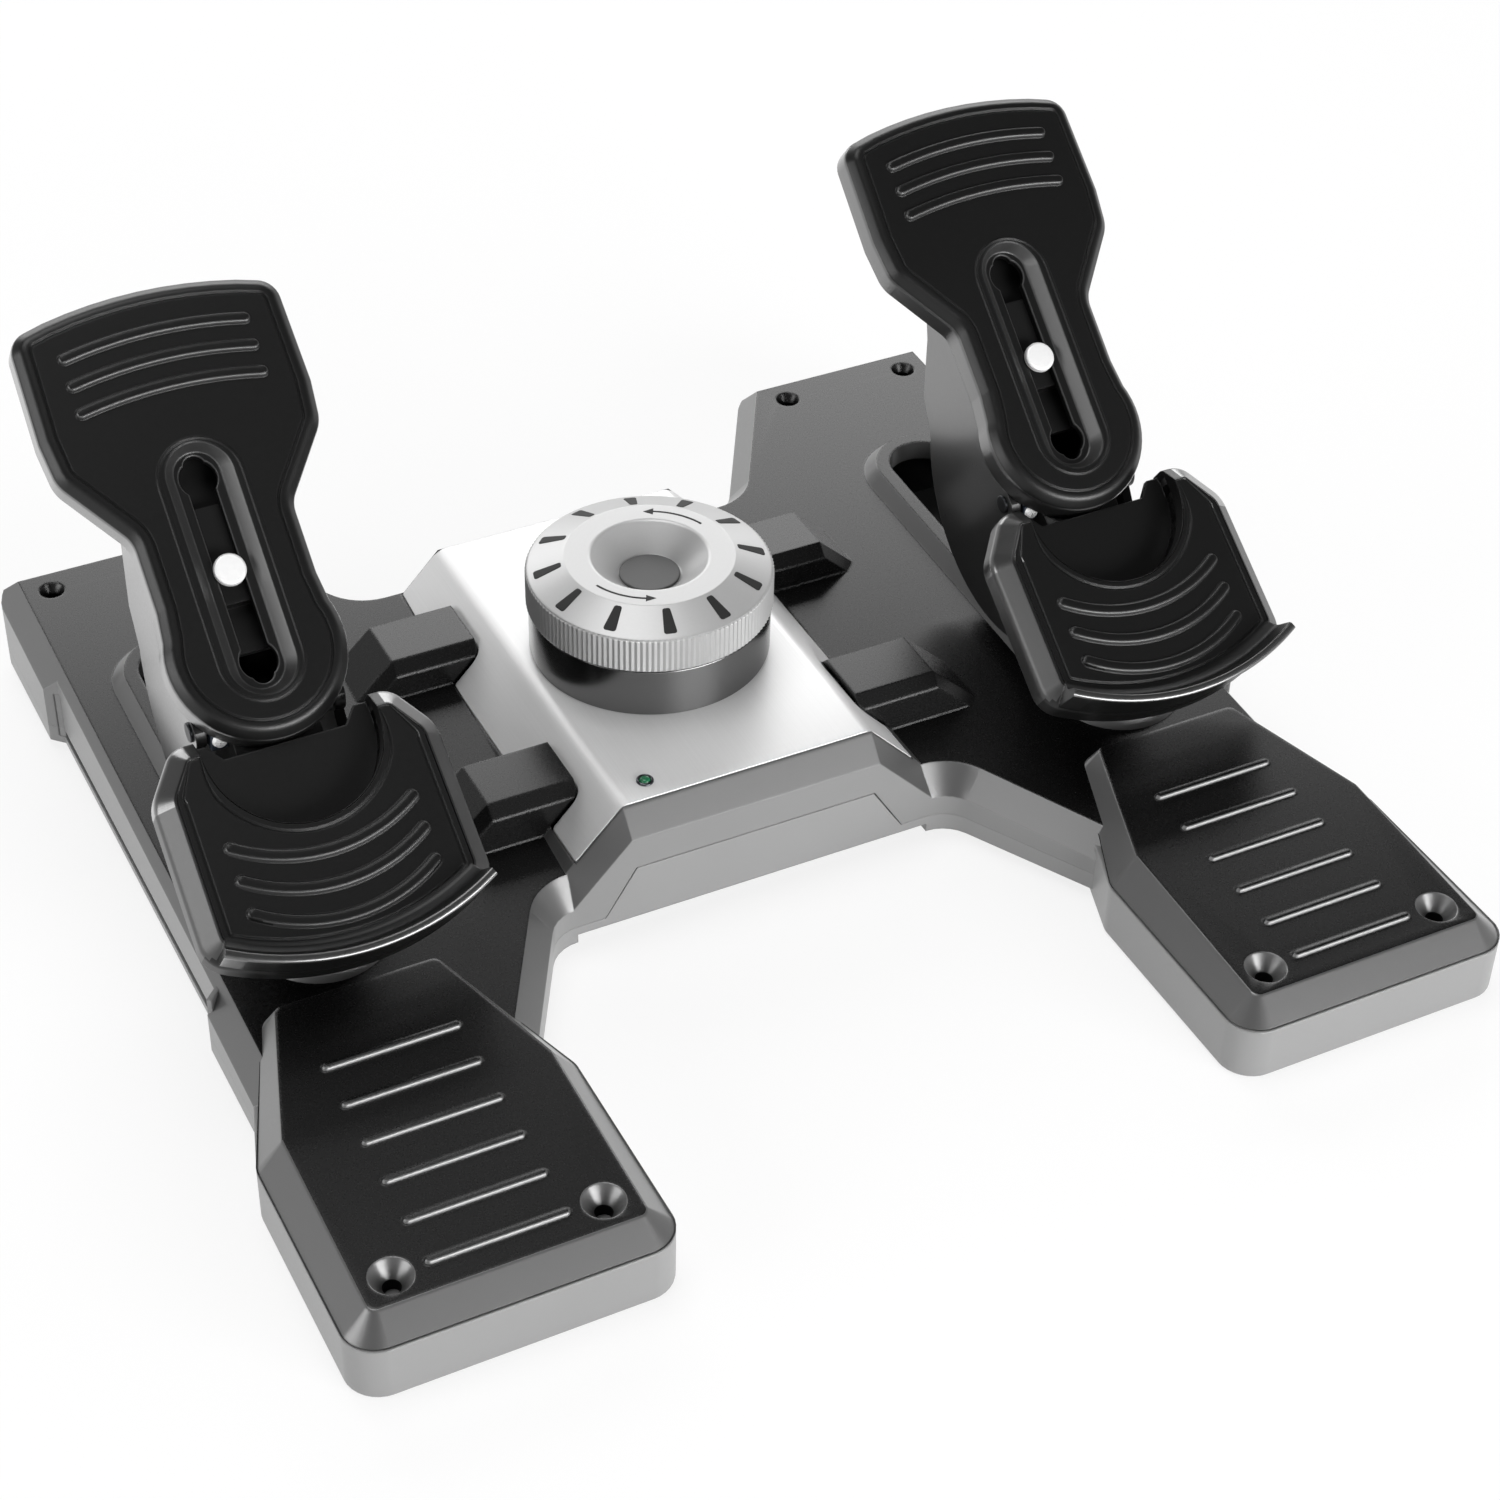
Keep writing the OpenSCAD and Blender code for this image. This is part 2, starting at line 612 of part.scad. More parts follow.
collar_wall = 4;
collar_top = panel_top + collar_h;
module knob_collar() {
    color("#1a1a1b") translate([0, knob_y]) difference() {
        union() {
            tube(collar_r, collar_r - collar_wall, panel_top, collar_top);
            tube(collar_r - collar_wall / 2, spindle_well_r, panel_top, panel_top + 2 * panel_t);
        }
        translate([0, 0, panel_top - over]) cylinder(r = spindle_r + seat_gap, h = tall);
    }
}
knob_z = collar_top + seat_gap;
knob_top = knob_z + knob_h;
cone_tilt = atan((knob_h - knob_side_h) / (knob_r - band_r));
function knurl(r) =
    [for (k = [0:2 * knurl_count - 1]) let (a = 180 * k / knurl_count, q = r - (k % 2) * knurl_d) [q * cos(a), q * sin(a)]];
module tension_knob() {
    hub_bore = spindle_r;
    color("#c4c5c7") translate([0, knob_y, knob_z]) difference() {
        union() {
            linear_extrude(knob_side_h) polygon(knurl(knob_r));
            rotate_extrude() polygon([[0, knob_side_h - over], [knob_r - knurl_d - over, knob_side_h - over],
                [knob_r - knurl_d - over / 2, knob_side_h], [band_r, knob_h], [0, knob_h]]);
        }
        rotate_extrude() polygon([[0, knob_h - dish_d], [cap_r, knob_h - dish_d], [dish_r, knob_h],
            [dish_r, knob_h + over], [0, knob_h + over]]);
        tube(knob_r - 2 * collar_wall, collar_wall * 2.5, -over, knob_h - dish_d - wall);
        disc(hub_bore, -over, knob_h - dish_d - 2);
        ticks(seat_gap / 4);
    }
}
// Tapered marks let into the cone of the knob
tick_in_w = 1.1;
tick_out_w = 2.3;
tick_t = 0.8;
module ticks(c) {
    r0 = band_r + 1.2;
    r1 = knob_r - 2;
    for (k = [0:tick_count - 1]) rotate([0, 0, (k + 0.5) * 360 / tick_count])
        translate([band_r, 0, knob_h]) rotate([0, cone_tilt, 0]) translate([-band_r, 0, -tick_t])
            linear_extrude(tick_t + (c > 0 ? over : 0)) polygon([[r0 - c, -tick_in_w - c], [r1 + c, -tick_out_w - c],
                [r1 + c, tick_out_w + c], [r0 - c, tick_in_w + c]]);
}
module knob_ticks() color("#151516") translate([0, knob_y, knob_z]) ticks(0);
module knob_cap() {
    t = 1;
    color("#4a4a4c") translate([0, knob_y, knob_top - dish_d]) rotate_extrude()
        polygon([[0, 0], [cap_r - seat_gap, 0], [cap_r - seat_gap, t / 2], [cap_r - t / 2, t], [0, t]]);
}
nut_travel = 0.8;
nut_rest = 1.4;
nut_z = bar_z + bar_t + nut_rest + nut_travel;
nut_h = 5;
module tension_spindle() {
    foot_z = bridge_floor_z + seat_gap;
    color("#9a9b9e") translate([0, knob_y]) {
        disc(spindle_r, foot_z, knob_top - dish_d - 2);
        tube(spindle_r * 1.6, spindle_r - over / 2, plate_z + plate_t + seat_gap, plate_z + plate_t + spindle_r);
    }
}
module pressure_nut() {
    color("#b9a56a") translate([0, knob_y, nut_z]) difference() {
        cylinder(r = spindle_r * 2.4, h = nut_h, $fn = 6);
        translate([0, 0, -over]) cylinder(r = spindle_r + pin_fit, h = nut_h + 2 * over);
    }
}
module friction_washers() {
    color("#6b4a33") translate([0, knob_y]) {
        tube(post_base_r, spindle_r + seat_gap, post_base_z, bar_z - seat_gap);
        tube(post_base_r, spindle_r + seat_gap, bar_z + bar_t + seat_gap, bar_z + bar_t + seat_gap + 1);
    }
}
module bearing_plate() {
    color("#a5a6a8") difference() {
        translate([-plate_half_w, knob_y - plate_half_l, plate_z]) cube([2 * plate_half_w, 2 * plate_half_l, plate_t]);
        for (y = [front_pivot_y, rear_pivot_y]) translate([0, y]) disc(pivot_r, 0, tall);
        translate([0, knob_y]) disc(spindle_r + pin_fit, 0, tall);
    }
}
module pivot_pin(y) {
    translate([0, y]) {
        disc(pivot_r, bridge_floor_z, plate_z + plate_t);
        disc(pivot_r + bush_t, plate_z + plate_t, plate_z + plate_t + 1.5);
    }
}
module front_pivot_pin() color("#b0b1b3") pivot_pin(front_pivot_y);
module rear_pivot_pin() color("#b0b1b3") pivot_pin(rear_pivot_y);
module centring_spring() {
    color("#8d8e91") translate([0, rear_pivot_y]) tube(pivot_r + 6, pivot_r + seat_gap, bar_z + bar_t + seat_gap, plate_z);
}
module rudder_sensor() {
    w = 9;
    color("#2f4f7a") translate([0, front_pivot_y]) difference() {
        translate([-w, -w, plate_z + plate_t]) cube([2 * w, 2 * w, 8]);
        disc(pivot_r + bush_t + seat_gap, 0, plate_z + plate_t + 2);
    }
}
board_z = plate_z + plate_t + 3;
module circuit_board() {
    half_w = plate_half_w - 4;
    y0 = knob_y + spindle_r * 3;
    y1 = rear_pivot_y - pivot_r - bush_t - wall;
    color("#1f5a34") {
        translate([-half_w, y0, board_z]) cube([2 * half_w, y1 - y0, 1.6]);
        for (x = [-1, 1]) translate([x * (half_w - 3), (y0 + y1) / 2]) disc(2, plate_z + plate_t, board_z);
    }
}
module power_led() {
    color("#2f9e57") translate([led_x, led_y]) {
        disc(led_r - seat_gap, panel_top - 6, panel_top);
        disc(led_r, panel_top - 8, panel_top - 6);
        translate([0, 0, panel_top]) intersection() {
            sphere(r = led_r - seat_gap);
            cylinder(r = led_r, h = led_r);
        }
    }
}
module led_bezel() {
    color("#d6d7d9") translate([led_x, led_y, panel_top]) rotate_extrude()
        polygon([[led_r - seat_gap, 0], [led_r + 0.9, 0], [led_r + 0.9, 0.3], [led_r + 0.3, 0.8], [led_r - seat_gap, 0.8]]);
}
module cable_gland() {
    lip = 2;
    color("#161617") translate([0, bridge_rear, gland_z]) rotate([-90, 0, 0]) difference() {
        union() {
            disc(gland_r, -wall, 6);
            disc(gland_r + lip, 0, lip);
            disc(gland_r + lip, -wall - lip, -wall);
        }
        disc(gland_r / 2, -2 * wall, 3 * wall);
    }
}
foot_r = 9;
rest_pad_inset = 14;
module rubber_feet() {
    color("#131314") {
        mirrored() for (p = [[wing_x - 6, rear_hole_y - 12], [case_out_x - 16, knob_y + 30], [wing_x - 52, bridge_rear]])
            translate(p) disc(foot_r, 0, case_clear);
        mirrored() for (y = [front_pivot_y - 22, rear_pivot_y + 22])
            translate([bridge_w / 2, y]) disc(foot_r, 0, case_clear + bridge_lift);
        at_wings() for (y = [front_y + rest_pad_inset, case_front_y - 2 * rest_pad_inset])
            translate([rest_pad_inset - rest_half_w, y, 0]) cube([2 * (rest_half_w - rest_pad_inset), rest_pad_inset, rest_lift]);
    }
}
module case_screws() {
    color("#8a8b8d") at_screws() {
        disc(screw_r, case_clear + screw_head_h, screw_top - over);
        disc(screw_head_r - seat_gap, case_clear, case_clear + screw_head_h);
    }
}

// Foot rest: outer line, centred on the wing
rest_lift = 0.8;
function rest_corners(d) =
    let (w = rest_half_w - rest_bevel, y0 = front_y + rest_bevel, y1 = front_y + rest_straight)
    [[w, y0, d], [w, y1, d], [rest_end_w, rest_end_y, d], [-rest_end_w, rest_end_y, d], [-w, y1, d], [-w, y0, d]];
rest_top_line = rounded(rest_corners(3), 4);
rest_out_line = inset(rounded([for (c = rest_corners(3)) [c[0], c[1], 3]], 4), -rest_bevel);
module rest_block() loft([level(rest_out_line, rest_seam), on_slope(rest_top_line, deck_z + rest_rise)]);
// Room inside a foot rest, ahead of the case
module rest_room() {
    difference() {
        union() {
            translate([0, 0, rest_seam - over]) linear_extrude(2 * over) polygon(inset(rest_out_line, wall));
            intersection() {
                translate([0, 0, rest_seam - over]) linear_extrude(tall) polygon(inset(rest_top_line, wall / 6));
                translate([0, 0, rest_rise]) under_deck(-wall);
            }
        }
        translate([-tall, case_front_y - wall, 0]) cube([2 * tall, tall, tall]);
    }
}
// Room that the case fills behind and below a foot rest
module case_room(c) {
    intersection() {
        under_deck(c);
        translate([-tall, case_front_y - c, 0]) cube([2 * tall, tall, tall]);
    }
}
module foot_rest(s) {
    rib_h = 1.1;
    rib_w = 1.5;
    color("#232325") difference() {
        union() {
            difference() {
                translate([s * wing_x, 0]) rest_block();
                translate([s * wing_x, 0]) rest_room();
            }
            intersection() {
                at_rest_holes(s) disc(floor_boss_r + 1.5, rest_seam, tall);
                translate([0, 0, rest_rise]) under_deck(-wall / 2);
            }
            translate([s * wing_x, 0, deck_z + rest_rise]) rotate([deck_pitch, 0, 0])
                for (k = [0:rest_ribs - 1]) translate([0, front_y + rest_rib_y + k * rest_rib_pitch, 0])
                    grip_rib(rest_rib_l / 2, rib_w, rib_h);
        }
        case_room(seat_gap);
        at_rest_holes(s) sink(rest_sink_r, rest_sink_h, rest_at(rest_hole_y));
        translate([0, 0, rest_seam - tall]) cube([4 * tall, 4 * tall, 2 * tall], center = true);
    }
}
rest_rib_y = 19.6;
// Thin raised rib with round ends, along X
module grip_rib(half, w, h) {
    translate([0, 0, -h]) {
        for (x = [-1, 1]) translate([x * (half - w), 0, 0]) cylinder(r1 = w, r2 = w * 0.7, h = 2 * h);
        across(2 * (half - w)) polygon([[-w, 0], [w, 0], [w * 0.7, 2 * h], [-w * 0.7, 2 * h]]);
    }
}
module rest_base(s) {
    color("#3a3a3c") difference() {
        union() {
            difference() {
                translate([s * wing_x, 0, rest_lift]) linear_extrude(rest_seam - rest_lift) polygon(rest_out_line);
                translate([s * wing_x, 0, rest_lift + wall]) linear_extrude(tall) difference() {
                    polygon(inset(rest_out_line, wall));
                    translate([-tall, case_front_y - wall]) square([2 * tall, tall]);
                }
            }
            at_rest_holes(s) disc(floor_boss_r + 1.5, rest_lift, rest_seam);
        }
        case_room(seat_gap);
        at_rest_holes(s) disc(floor_hole_r, -over, tall);
    }
}
module left_rest_base() rest_base(-1);
module right_rest_base() rest_base(1);
module left_foot_rest() foot_rest(-1);
module right_foot_rest() foot_rest(1);
weight_inset = 12;
weight_h = 8;
module rest_weights() {
    half_w = rest_half_w - wall - weight_inset;
    color("#6f7073") at_wings() translate([-half_w, rest_hole_y + weight_inset, rest_lift + wall])
        cube([2 * half_w, case_front_y - rest_hole_y - 2 * weight_inset, weight_h]);
}

// Flat bar with eyes at its ends and a hub in the middle
module bar_plan(end_r) {
    translate([-wing_x, -bar_w / 2]) square([2 * wing_x, bar_w]);
    circle(r = hub_r);
    for (x = [-1, 1]) translate([x * wing_x, 0]) circle(r = end_r);
}
sector_slot_w = spindle_r + 1;
sector_slot_turn = asin(sector_slot_w / pivot_gap);
sector_end_turn = 4;
module front_bar() {
    arc_half = rudder_swing + sector_slot_turn;
    arc_out = arc_half + sector_end_turn;
    color("#77787b") translate([0, front_pivot_y, bar_z]) difference() {
        linear_extrude(bar_t) difference() {
            union() {
                bar_plan(eye_r);
                polygon(concat([[0, 0]], [for (p = fan(pivot_gap + 12, 90 - arc_out, 90 + arc_out, 12)) p]));
            }
            polygon(concat(fan(pivot_gap + sector_slot_w, 90 - arc_half, 90 + arc_half, 10),
                fan(pivot_gap - sector_slot_w, 90 + arc_half, 90 - arc_half, 10)));
        }
        disc(pivot_r + bush_t, -over, tall);
        for (x = [-1, 1]) translate([x * wing_x, 0]) disc(link_pin_r + bush_t / 2, -over, tall);
    }
}
module front_bar_bushes() {
    color("#b08a4a") translate([0, front_pivot_y]) {
        tube(pivot_r + bush_t, pivot_r + pin_fit, bar_z - seat_gap, bar_z + bar_t + seat_gap);
        for (x = [-1, 1]) translate([x * wing_x, 0])
            tube(link_pin_r + bush_t / 2, link_pin_r + pin_fit, bar_z - seat_gap, bar_z + bar_t + seat_gap);
    }
}
module rear_bar() {
    color("#77787b") translate([0, rear_pivot_y, bar_z]) difference() {
        linear_extrude(bar_t) bar_plan(eye_r);
        disc(pivot_r + bush_t, -over, tall);
        for (x = [-1, 1]) translate([x * wing_x, 0]) disc(link_pin_r + open_fit, -over, tall);
    }
}
module rear_bar_bush() {
    color("#b08a4a") translate([0, rear_pivot_y])
        tube(pivot_r + bush_t, pivot_r + pin_fit, bar_z - seat_gap, bar_z + bar_t + seat_gap);
}

// Carriage: a cover plate with a spine below it, cut open round the bar ends
spine_half_w = 13;
spine_end = 15;
cover_z = bar_z + bar_t + 2.5;
cover_t = 3.5;
spine_z = floor_z + 1.3;
neck_y0 = hinge_y - 17.5;
neck_y1 = hinge_y + 20.5;
arm_base_z = deck_at(hinge_y) + rim_h + 3.4;
module carriage(s) {
    room = eye_r + 4;
    color("#303032") difference() {
        union() {
            translate([s * wing_x - cover_half_w, knob_y - cover_half_l, cover_z]) cube([2 * cover_half_w, 2 * cover_half_l, cover_t]);
            translate([s * wing_x - spine_half_w, front_pivot_y - spine_end, spine_z])
                cube([2 * spine_half_w, 2 * (pivot_gap + spine_end), cover_z - spine_z + over]);
            at_pedal(s) translate([-neck_half_w, neck_y0, cover_z]) cube([2 * neck_half_w, neck_y1 - neck_y0, arm_base_z - cover_z]);
        }
        for (y = [front_pivot_y, rear_pivot_y]) {
            translate([s * wing_x - s * (room - over), y, bar_z + bar_t / 2])
                cube([4 * room, 2 * room, bar_t + 2 * run_gap], center = true);
            translate([s * wing_x, y]) disc(link_pin_r, 0, cover_z + 1.5);
        }
    }
}
module carriage_pins(s) {
    color("#b0b1b3") for (y = [front_pivot_y, rear_pivot_y]) translate([s * wing_x, y]) disc(link_pin_r, spine_z, cover_z + 1.5);
}
module glide_pads(s) {
    color("#d9d4c4") for (y = [-1, 1])
        translate([s * wing_x - spine_half_w, knob_y + y * (pivot_gap - spine_end) - spine_end, floor_z + seat_gap])
            cube([2 * spine_half_w, 2 * spine_end, spine_z - floor_z - seat_gap]);
}
module left_carriage() carriage(-1);
module right_carriage() carriage(1);
module left_carriage_pins() carriage_pins(-1);
module right_carriage_pins() carriage_pins(1);
module left_glide_pads() glide_pads(-1);
module right_glide_pads() glide_pads(1);

// Frames of the pedal faces: x across, y up the slope, z out of the face
cup_y = -48;
cup_z = 77;
plate_y = 7;
plate_z0 = 111.5;
plate_end_t = 10.2;
module on_cup(s) at_pedal(s) translate([0, cup_y, cup_z]) rotate([cup_tilt, 0, 0]) children();
module on_plate(s) at_pedal(s) translate([0, plate_y, plate_z0]) rotate([plate_tilt, 0, 0]) children();
module at_hinge(s) at_pedal(s) translate([0, hinge_y, hinge_z]) children();
module hinge_bore(r, w) rotate([0, 90, 0]) cylinder(r = r, h = w, center = true);
// A point of the cup's own frame in Y and Z, seen from the hinge
function cup_point(t, n) = [cup_y - hinge_y + t * cos(cup_tilt) - n * sin(cup_tilt),
    cup_z - hinge_z + t * sin(cup_tilt) + n * cos(cup_tilt)];
function plate_point(t, n) = [plate_y - hinge_y + t * cos(plate_tilt) - n * sin(plate_tilt),
    plate_z0 - hinge_z + t * sin(plate_tilt) + n * cos(plate_tilt)];

core_w = toe_arm_w - cheek_t - run_gap;
hub_w = 15;
cup_top_t = 44.5;
ramp_t = 3;
arm_gap = 0.4;
arm_n = -plate_d - arm_gap;
// The hinge in the frame of the toe plate, and the largest hub that clears the skirt of the plate
hinge_t = (hinge_y - plate_y) * cos(plate_tilt) + (hinge_z - plate_z0) * sin(plate_tilt);
hinge_n = (hinge_y - plate_y) * sin(plate_tilt) - (hinge_z - plate_z0) * cos(plate_tilt);
core_hub_r = hinge_n - plate_d - arm_gap;
plate_foot_t = plate_end_t - plate_end_r - plate_bevel;
module pedal_arm(s) {
    base = arm_base_z - hinge_z;
    color("#1f1f20") difference() {
        union() {
            at_hinge(s) {
                hinge_bore(core_hub_r, 2 * hub_w);
                across(2 * hub_w) polygon([[neck_y0 - hinge_y - 8, base], [neck_y1 - hinge_y, base],
                    [neck_y1 - hinge_y, base + 8], core_hub_r * [0.9, 0], plate_point(hinge_t, arm_n - seat_gap),
                    plate_point(plate_foot_t - run_gap, arm_n - seat_gap), cup_point(cup_top_t - 5, -cup_d), cup_point(2, -cup_d),
                    [neck_y0 - hinge_y - 8, base + 6]]);
                across(2 * core_w) polygon([[neck_y0 - hinge_y - 8, base], [neck_y1 - hinge_y, base],
                    [neck_y1 - hinge_y, base + 5], [neck_y0 - hinge_y - 8, base + 5]]);
            }
        }
        at_hinge(s) hinge_bore(hinge_pin_r, 4 * toe_arm_w);
    }
}
module left_pedal_arm() pedal_arm(-1);
module right_pedal_arm() pedal_arm(1);

// Heel cup
cup_front_t = -16;
lip_mid_t = cup_front_t + sqrt(lip_r * lip_r - cup_w * cup_w);
cup_line = rounded(concat(
    [for (p = fan(lip_r, -90 - asin(cup_w / lip_r), -90 + asin(cup_w / lip_r), 14)) [p[0], p[1] + lip_mid_t, 0]],
    [[cup_w - 0.6, 33, 7], [cup_cut_r + 4, cup_top_t, 3], [-cup_cut_r - 4, cup_top_t, 3], [0.6 - cup_w, 33, 7]]), 4);
cup_out_line = inset(cup_line, -cup_bevel);
cup_cut_t = 43.5;
cup_bevel_d = 6;
module cup_block(d) {
    loft([level(inset(cup_out_line, d), -cup_d - (d > 0 ? over : 0)), level(inset(cup_out_line, d), -cup_bevel_d - d / 2),
        level(inset(cup_line, d / 2), -d)]);
}
// Raised arc rib with round ends: half chord, sag towards the user or away
module arc_rib(r, half, mid_t, w, h, up) {
    a = asin(half / r);
    dir = up ? 90 : -90;
    translate([0, up ? mid_t - r : mid_t + r, -h]) {
        linear_extrude(2 * h) {
            polygon(concat(fan(r + w, dir - a, dir + a, 16), fan(r - w, dir + a, dir - a, 16)));
            for (k = [-1, 1]) translate(r * [cos(dir + k * a), sin(dir + k * a)]) circle(r = w);
        }
    }
}
cup_rib_r = 56;
cup_rib_half = 31;
cup_rib_pitch = 11.2;
cup_rib_t = 1.6;
cup_rib_w = 2.1;
rib_h = 0.9;
module cup_lip() {
    reach = asin((cup_w + 2.5) / (lip_r + 6));
    translate([0, lip_mid_t, 0]) rotate([0, 0, -90 - reach]) rotate_extrude(angle = 2 * reach)
        polygon([[lip_r - 4, -2], [lip_r - 1, 0], [lip_r + 1.5, 1.5], [lip_r + 3.5, 5], [lip_r + 4.5, lip_h],
            [lip_r + 7, lip_h], [lip_r + 6.4, 4], [lip_r + 6.2, -4], [lip_r + 2, -6]]);
}
module heel_cup(s) {
    color("#222224") on_cup(s) difference() {
        union() {
            difference() {
                cup_block(0);
                difference() {
                    cup_block(wall);
                    translate([0, cup_cut_t, -2 * cup_d]) cylinder(r = cup_cut_r + wall, h = 3 * cup_d);
                }
            }
            cup_lip();
            for (k = [-1:1]) arc_rib(cup_rib_r, cup_rib_half, cup_rib_t - 10.8 - k * cup_rib_pitch + 1, cup_rib_w, rib_h, false);
        }
        translate([0, cup_cut_t, ramp_t - cup_d]) cylinder(r = cup_cut_r, h = 2 * cup_d);
        translate([-tall, cup_top_t - 3, ramp_t - cup_d - over - wall]) cube([2 * tall, tall, 0.1]);
        translate([-cup_cut_r + 1, cup_top_t - 3, -2 * cup_d]) cube([2 * cup_cut_r - 2, tall, 4 * cup_d]);
    }
}
module left_heel_cup() heel_cup(-1);
module right_heel_cup() heel_cup(1);

module hinge_pin(s) {
    head = 1.2;
    color("#b0b1b3") at_hinge(s) {
        hinge_bore(hinge_pin_r, 2 * toe_arm_w);
        for (k = [-1, 1]) translate([k * (toe_arm_w + head / 2), 0, 0]) hinge_bore(hinge_pin_r * 1.4, head);
    }
}
module left_hinge_pin() hinge_pin(-1);
module right_hinge_pin() hinge_pin(1);
// Torsion spring and position sensor beside the hub, on the hinge pin
side_w = core_w - hub_w;
module brake_spring(s) {
    color("#8d8e91") at_hinge(s) translate([hub_w + seat_gap + side_w / 2, 0, 0]) rotate([0, 90, 0]) difference() {
        cylinder(r = core_hub_r - seat_gap, h = side_w - 2 * seat_gap, center = true);
        cylinder(r = hinge_pin_r + seat_gap, h = side_w + over, center = true);
    }
}
sensor_face = 6.5;
sensor_low = 5;
sensor_high = 1.2;
sensor_screw_r = 2.6;
module brake_sensor(s) {
    w = side_w - 2 * seat_gap;
    color("#2f4f7a") at_hinge(s) translate([-hub_w - side_w / 2, 0, 0]) difference() {
        union() {
            hinge_bore(core_hub_r - seat_gap, w);
            translate([-w / 2, -sensor_face, -sensor_low]) cube([w, sensor_face, sensor_low + sensor_high]);
        }
        hinge_bore(hinge_pin_r + seat_gap, side_w + over);
    }
}
module sensor_screw(s) {
    r = sensor_screw_r;
    color("#c9cacc") at_hinge(s) translate([-hub_w - side_w / 2, -sensor_face, sensor_high - r]) rotate([90, 0, 0]) difference() {
        cylinder(r1 = r, r2 = r - 0.5, h = 1.2);
        for (a = [0, 90]) rotate([0, 0, a]) translate([-1.5, -0.3, 0.6]) cube([3, 0.6, 2]);
    }
}
module left_sensor_screw() sensor_screw(-1);
module right_sensor_screw() sensor_screw(1);
module left_brake_spring() brake_spring(-1);
module right_brake_spring() brake_spring(1);
module left_brake_sensor() brake_sensor(-1);
module right_brake_sensor() brake_sensor(1);

// Toe arm: two cheeks and a curved rear wall, open below for the neck
cheek_start = 237;
shell_low = 307;
shell_start = shell_low + toe_travel;
shell_end = 358;
cheek_hub_r = 6;
arm_rear_y = 60.5;
arm_rear_pts_share = [0.2, 0.66];
function arm_top(y) = plate_point(0, arm_n)[1] + (y - plate_point(0, arm_n)[0]) * tan(plate_tilt);
function arm_rear(d) = [[arm_rear_y - d, drum_r * arm_rear_pts_share[0]], [arm_rear_y - d, drum_r * arm_rear_pts_share[1]],
    [arm_rear_y + 5 - d, arm_top(arm_rear_y + 5 - d)]];
function cheek_line() = concat([[0, 0]], fan(drum_r, cheek_start, shell_end, 24), arm_rear(0),
    [[cheek_front, arm_top(cheek_front)]]);
cheek_front = 4;
head_t0 = 28;
bed_t0 = 12;
bed_l = 88;
head_t1 = 62;
head_w = 16;
head_n = -recess_d - wall - arm_gap;
clamp_t = 38.3;
clamp_r = 3;
module toe_arm(s) {
    color("#242426") difference() {
        union() {
            at_hinge(s) {
                for (k = [-1, 1]) translate([k * (toe_arm_w - cheek_t / 2), 0, 0]) {
                    across(cheek_t) polygon(cheek_line());
                    hinge_bore(cheek_hub_r, cheek_t);
                }
                across(2 * toe_arm_w - cheek_t) polygon(concat(fan(drum_r, shell_start, shell_end, 10), arm_rear(0),
                    [for (p = [2:-1:0]) arm_rear(cheek_t)[p]], fan(drum_r - cheek_t, shell_end, shell_start, 10)));
            }
            on_plate(s) {
                translate([-toe_arm_w + over, bed_t0, arm_n - cheek_t]) cube([2 * (toe_arm_w - over), bed_l, cheek_t]);
                translate([-head_w, head_t0, arm_n - over]) cube([2 * head_w, head_t1 - head_t0, head_n - arm_n + over]);
            }
        }
        at_hinge(s) hinge_bore(hinge_pin_r + pin_fit, 4 * toe_arm_w);
        on_plate(s) translate([0, clamp_t, -4 * plate_d]) cylinder(r = clamp_r, h = 4 * plate_d);
        on_plate(s) translate([-tall, -tall, arm_n]) difference() {
            cube([2 * tall, 2 * tall, tall]);
            translate([tall - head_w, tall + head_t0, -over]) cube([2 * head_w, head_t1 - head_t0, tall]);
        }
    }
}
module left_toe_arm() toe_arm(-1);
module right_toe_arm() toe_arm(1);
module clamp_screw(s) {
    color("#d8d9da") on_plate(s) translate([0, clamp_t, 0]) difference() {
        union() {
            disc(clamp_r, arm_n - cheek_t, -recess_d + arm_gap);
            translate([0, 0, arm_gap - recess_d]) rotate_extrude()
                polygon([[0, 0], [clamp_head_r, 0], [clamp_head_r, 1.8], [clamp_head_r - 0.8, 2.6], [0, 2.9]]);
        }
        for (a = [0, 90]) rotate([0, 0, a]) translate([-2.2, -0.45, arm_gap - recess_d + 1.8]) cube([4.4, 0.9, 2]);
    }
}
module left_clamp_screw() clamp_screw(-1);
module right_clamp_screw() clamp_screw(1);

// Toe plate outline: round end, waist, shoulders and an arched top
plate_top_r = 157;
plate_top_t = plate_end_t + plate_len;
plate_wall = 2.8;
plate_bevel_d = 3.6;
function plate_half() = concat(
    [for (p = fan(plate_end_r, -90, 20, 12)) [p[0], p[1] + plate_end_t, 0]],
    [[waist_w, plate_end_t + 20, 8], [waist_w, plate_end_t + 46, 14], [plate_w - 1.4, plate_end_t + 70.5, 10],
        [plate_w, plate_end_t + 84, 0], [plate_w - 0.8, plate_top_t - 6.2, 5]],
    [for (a = [12, 8, 4, 0]) [plate_top_r * sin(a), plate_top_t - plate_top_r * (1 - cos(a)), 0]]);
plate_line = rounded([for (p = both_sides(plate_half())) if (!(p[0] < 0 && p[1] < plate_end_t - plate_end_r + 0.001)) p], 4);
plate_out_line = inset(plate_line, -plate_bevel);
module plate_block() {
    intersection() {
        loft([level(plate_out_line, -plate_d - over), level(plate_out_line, -plate_bevel_d), level(inset(plate_line, 0.5), 0.5)]);
        translate([-plate_top_r, -plate_top_r, -plate_d]) cube([2 * plate_top_r, 3 * plate_top_r, plate_d]);
    }
}
recess_t0 = -4.7;
recess_t1 = 80.6;
key_t0 = clamp_t - plate_travel - seat_gap;
